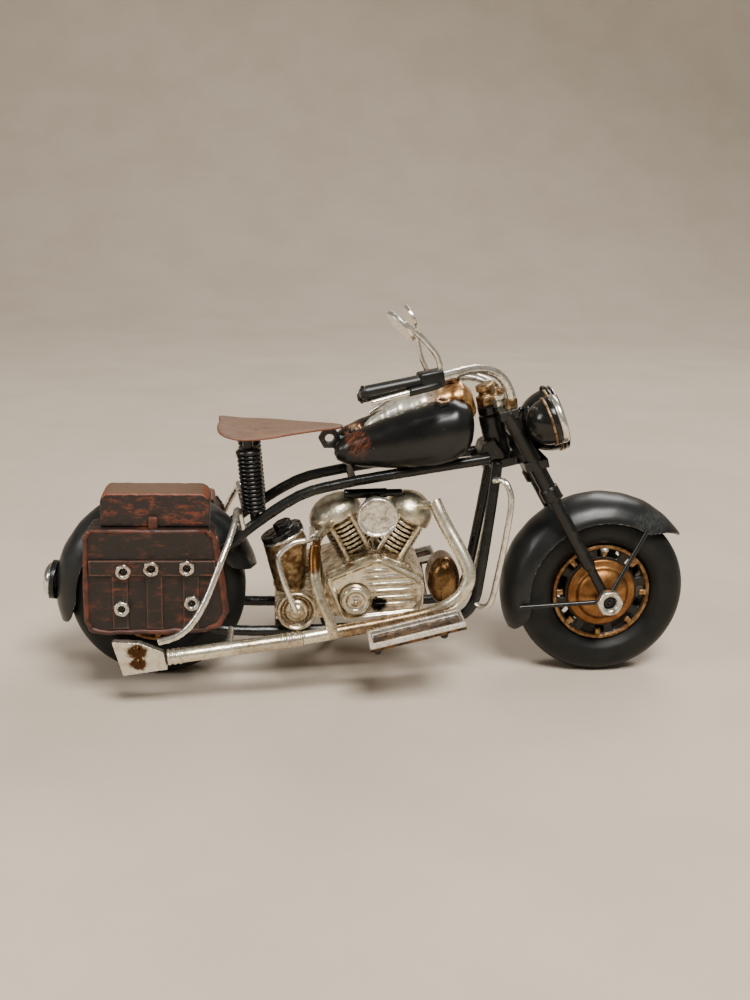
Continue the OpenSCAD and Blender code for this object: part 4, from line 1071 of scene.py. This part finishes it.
blocks, ends, roots = [], [], []
for start, end in ((at(11.2, -22, 87.6), at(-8.6, -26, 84)), (at(14.8, 22.6, 78.2), at(-4.8, 26.6, 73.1))):
    blocks.append(bar_block(start, end, -0.2, 6.4, 4.5, 4.5))
    ends.append(tube([end + (end - start).normalized() * d * MM for d in (-0.2, 0.7)], 2.0, 10))
bevel(piece("grip_clamps", *together(blocks), "grip", "steering", "black_paint", smooth=False), 0.7, 3)
bevel(piece("grip_end_flanges", *together(ends), "grip", "steering", "black_paint", smooth=False), 0.35)
for route in (((10.4, -22.6, 86), (9.4, -24.4, 85.8), (2.4, -26.3, 84.3)),
        ((13.8, 23.2, 76.4), (11.6, 24.4, 75.6), (5, 25.1, 73.1))):
    roots.append(tube(line(route), 1.05, 12))
piece("lever_roots", *together(roots), "grip", "steering", "black_paint")

sleeves = [tube(line([(32.2, side * 9.4, 76.2), (32.2, side * 9.3, 78), top]), lambda t: 1.72 - 0.12 * t, 20)
    for side, top in ((-1, (31.95, -9.3, 80)), (1, (31.6, 9.6, 78.9)))]
STEM_AXIS = leaning(STEM_RAKE)
for side in (-1, 1):
    foot = at(31.5, side * 5.4, 62.3) + Vector((STEM_AXIS.z, 0, -STEM_AXIS.x)) * 2.6 * MM
    sleeves.append(lathe([(0.01, 14.5), (1.2, 14.5), (1.2, 16.2), (1.9, 16.4), (2.0, 18.4), (1.5, 18.9),
        (1.3, 19.8), (0.01, 20)], foot, STEM_AXIS, 24))
piece("bar_risers", *together(sleeves), "riser", "steering", "bronze")

# ---- stage ----


def stage():
    """Pale floor that curves up behind, and soft lights."""
    width, front, back, sweep, rise = 3.0, -1.2, 0.7, 0.5, 1.6
    profile = [(front, 0.0), (back, 0.0)]
    profile += [(back + sweep * sin(radians(a)), sweep * (1 - cos(radians(a)))) for a in range(10, 91, 10)]
    profile.append((back + sweep, rise))
    verts = [(x, y, cad_box[0][2] + z) for x in (-width / 2, width / 2) for y, z in profile]
    n = len(profile)
    faces = [(i, i + 1, n + i + 1, n + i) for i in range(n - 1)]
    mesh = bpy.data.meshes.new("floor")
    mesh.from_pydata(verts, [], faces)
    mesh.polygons.foreach_set("use_smooth", [True] * len(mesh.polygons))
    floor = linked("floor", mesh)
    s = Surface("floor_cloth", Specular_IOR_Level=0.2)
    colour = s.blend(s.noise(60, 3), 0.3, 0.7, (0.52, 0.44, 0.35), (0.56, 0.48, 0.39))
    floor.data.materials.append(s.finish(colour, (s.noise(3), 0.75, 0.9), (s.noise(0.6), 0.15, 0.05)))

    def lamp(name, place, target, size, power, tint):
        light = bpy.data.lights.new(name, "AREA")
        light.shape = "RECTANGLE"
        light.size, light.size_y = size
        light.energy = power
        light.color = tint
        holder = linked(name, light)
        holder.location = place
        holder.rotation_euler = (Vector(target) - Vector(place)).to_track_quat("-Z", "Y").to_euler()

    lamp("key_softbox", (0.12, -0.5, 0.8), (0, 0, 0.04), (0.42, 0.3), 13, (1, 0.97, 0.92))
    lamp("left_softbox", (-0.8, -0.3, 0.45), (0, 0, 0.05), (0.3, 0.3), 3.5, (1, 0.98, 0.95))
    lamp("back_softbox", (0.35, 0.6, 0.75), (0, 0, 0.05), (0.5, 0.3), 5, (1, 0.97, 0.93))
    world = bpy.data.worlds.new("studio")
    world.use_nodes = True
    world.node_tree.nodes["Background"].inputs[0].default_value = (0.78, 0.73, 0.66, 1)
    world.node_tree.nodes["Background"].inputs[1].default_value = 0.28
    bpy.context.scene.world = world


def camera():
    """Right side, a little from the rear and above, slightly rolled."""
    place = at(-34.2, -319, 137.7)
    turn, pitch, roll = radians(-5.66), radians(-15.43), radians(1.836)
    view = bpy.data.cameras.new("camera")
    view.sensor_fit = "VERTICAL"
    view.sensor_height = 36
    view.lens = 43.2
    view.clip_start = 0.01
    holder = linked("camera", view)
    aim = Matrix.Rotation(turn, 4, "Z") @ Matrix.Rotation(pi / 2 + pitch, 4, "X")
    holder.matrix_world = Matrix.Translation(place) @ aim @ Matrix.Rotation(roll, 4, "Z")
    bpy.context.scene.camera = holder


stage()
camera()

bpy.context.view_layer.update()
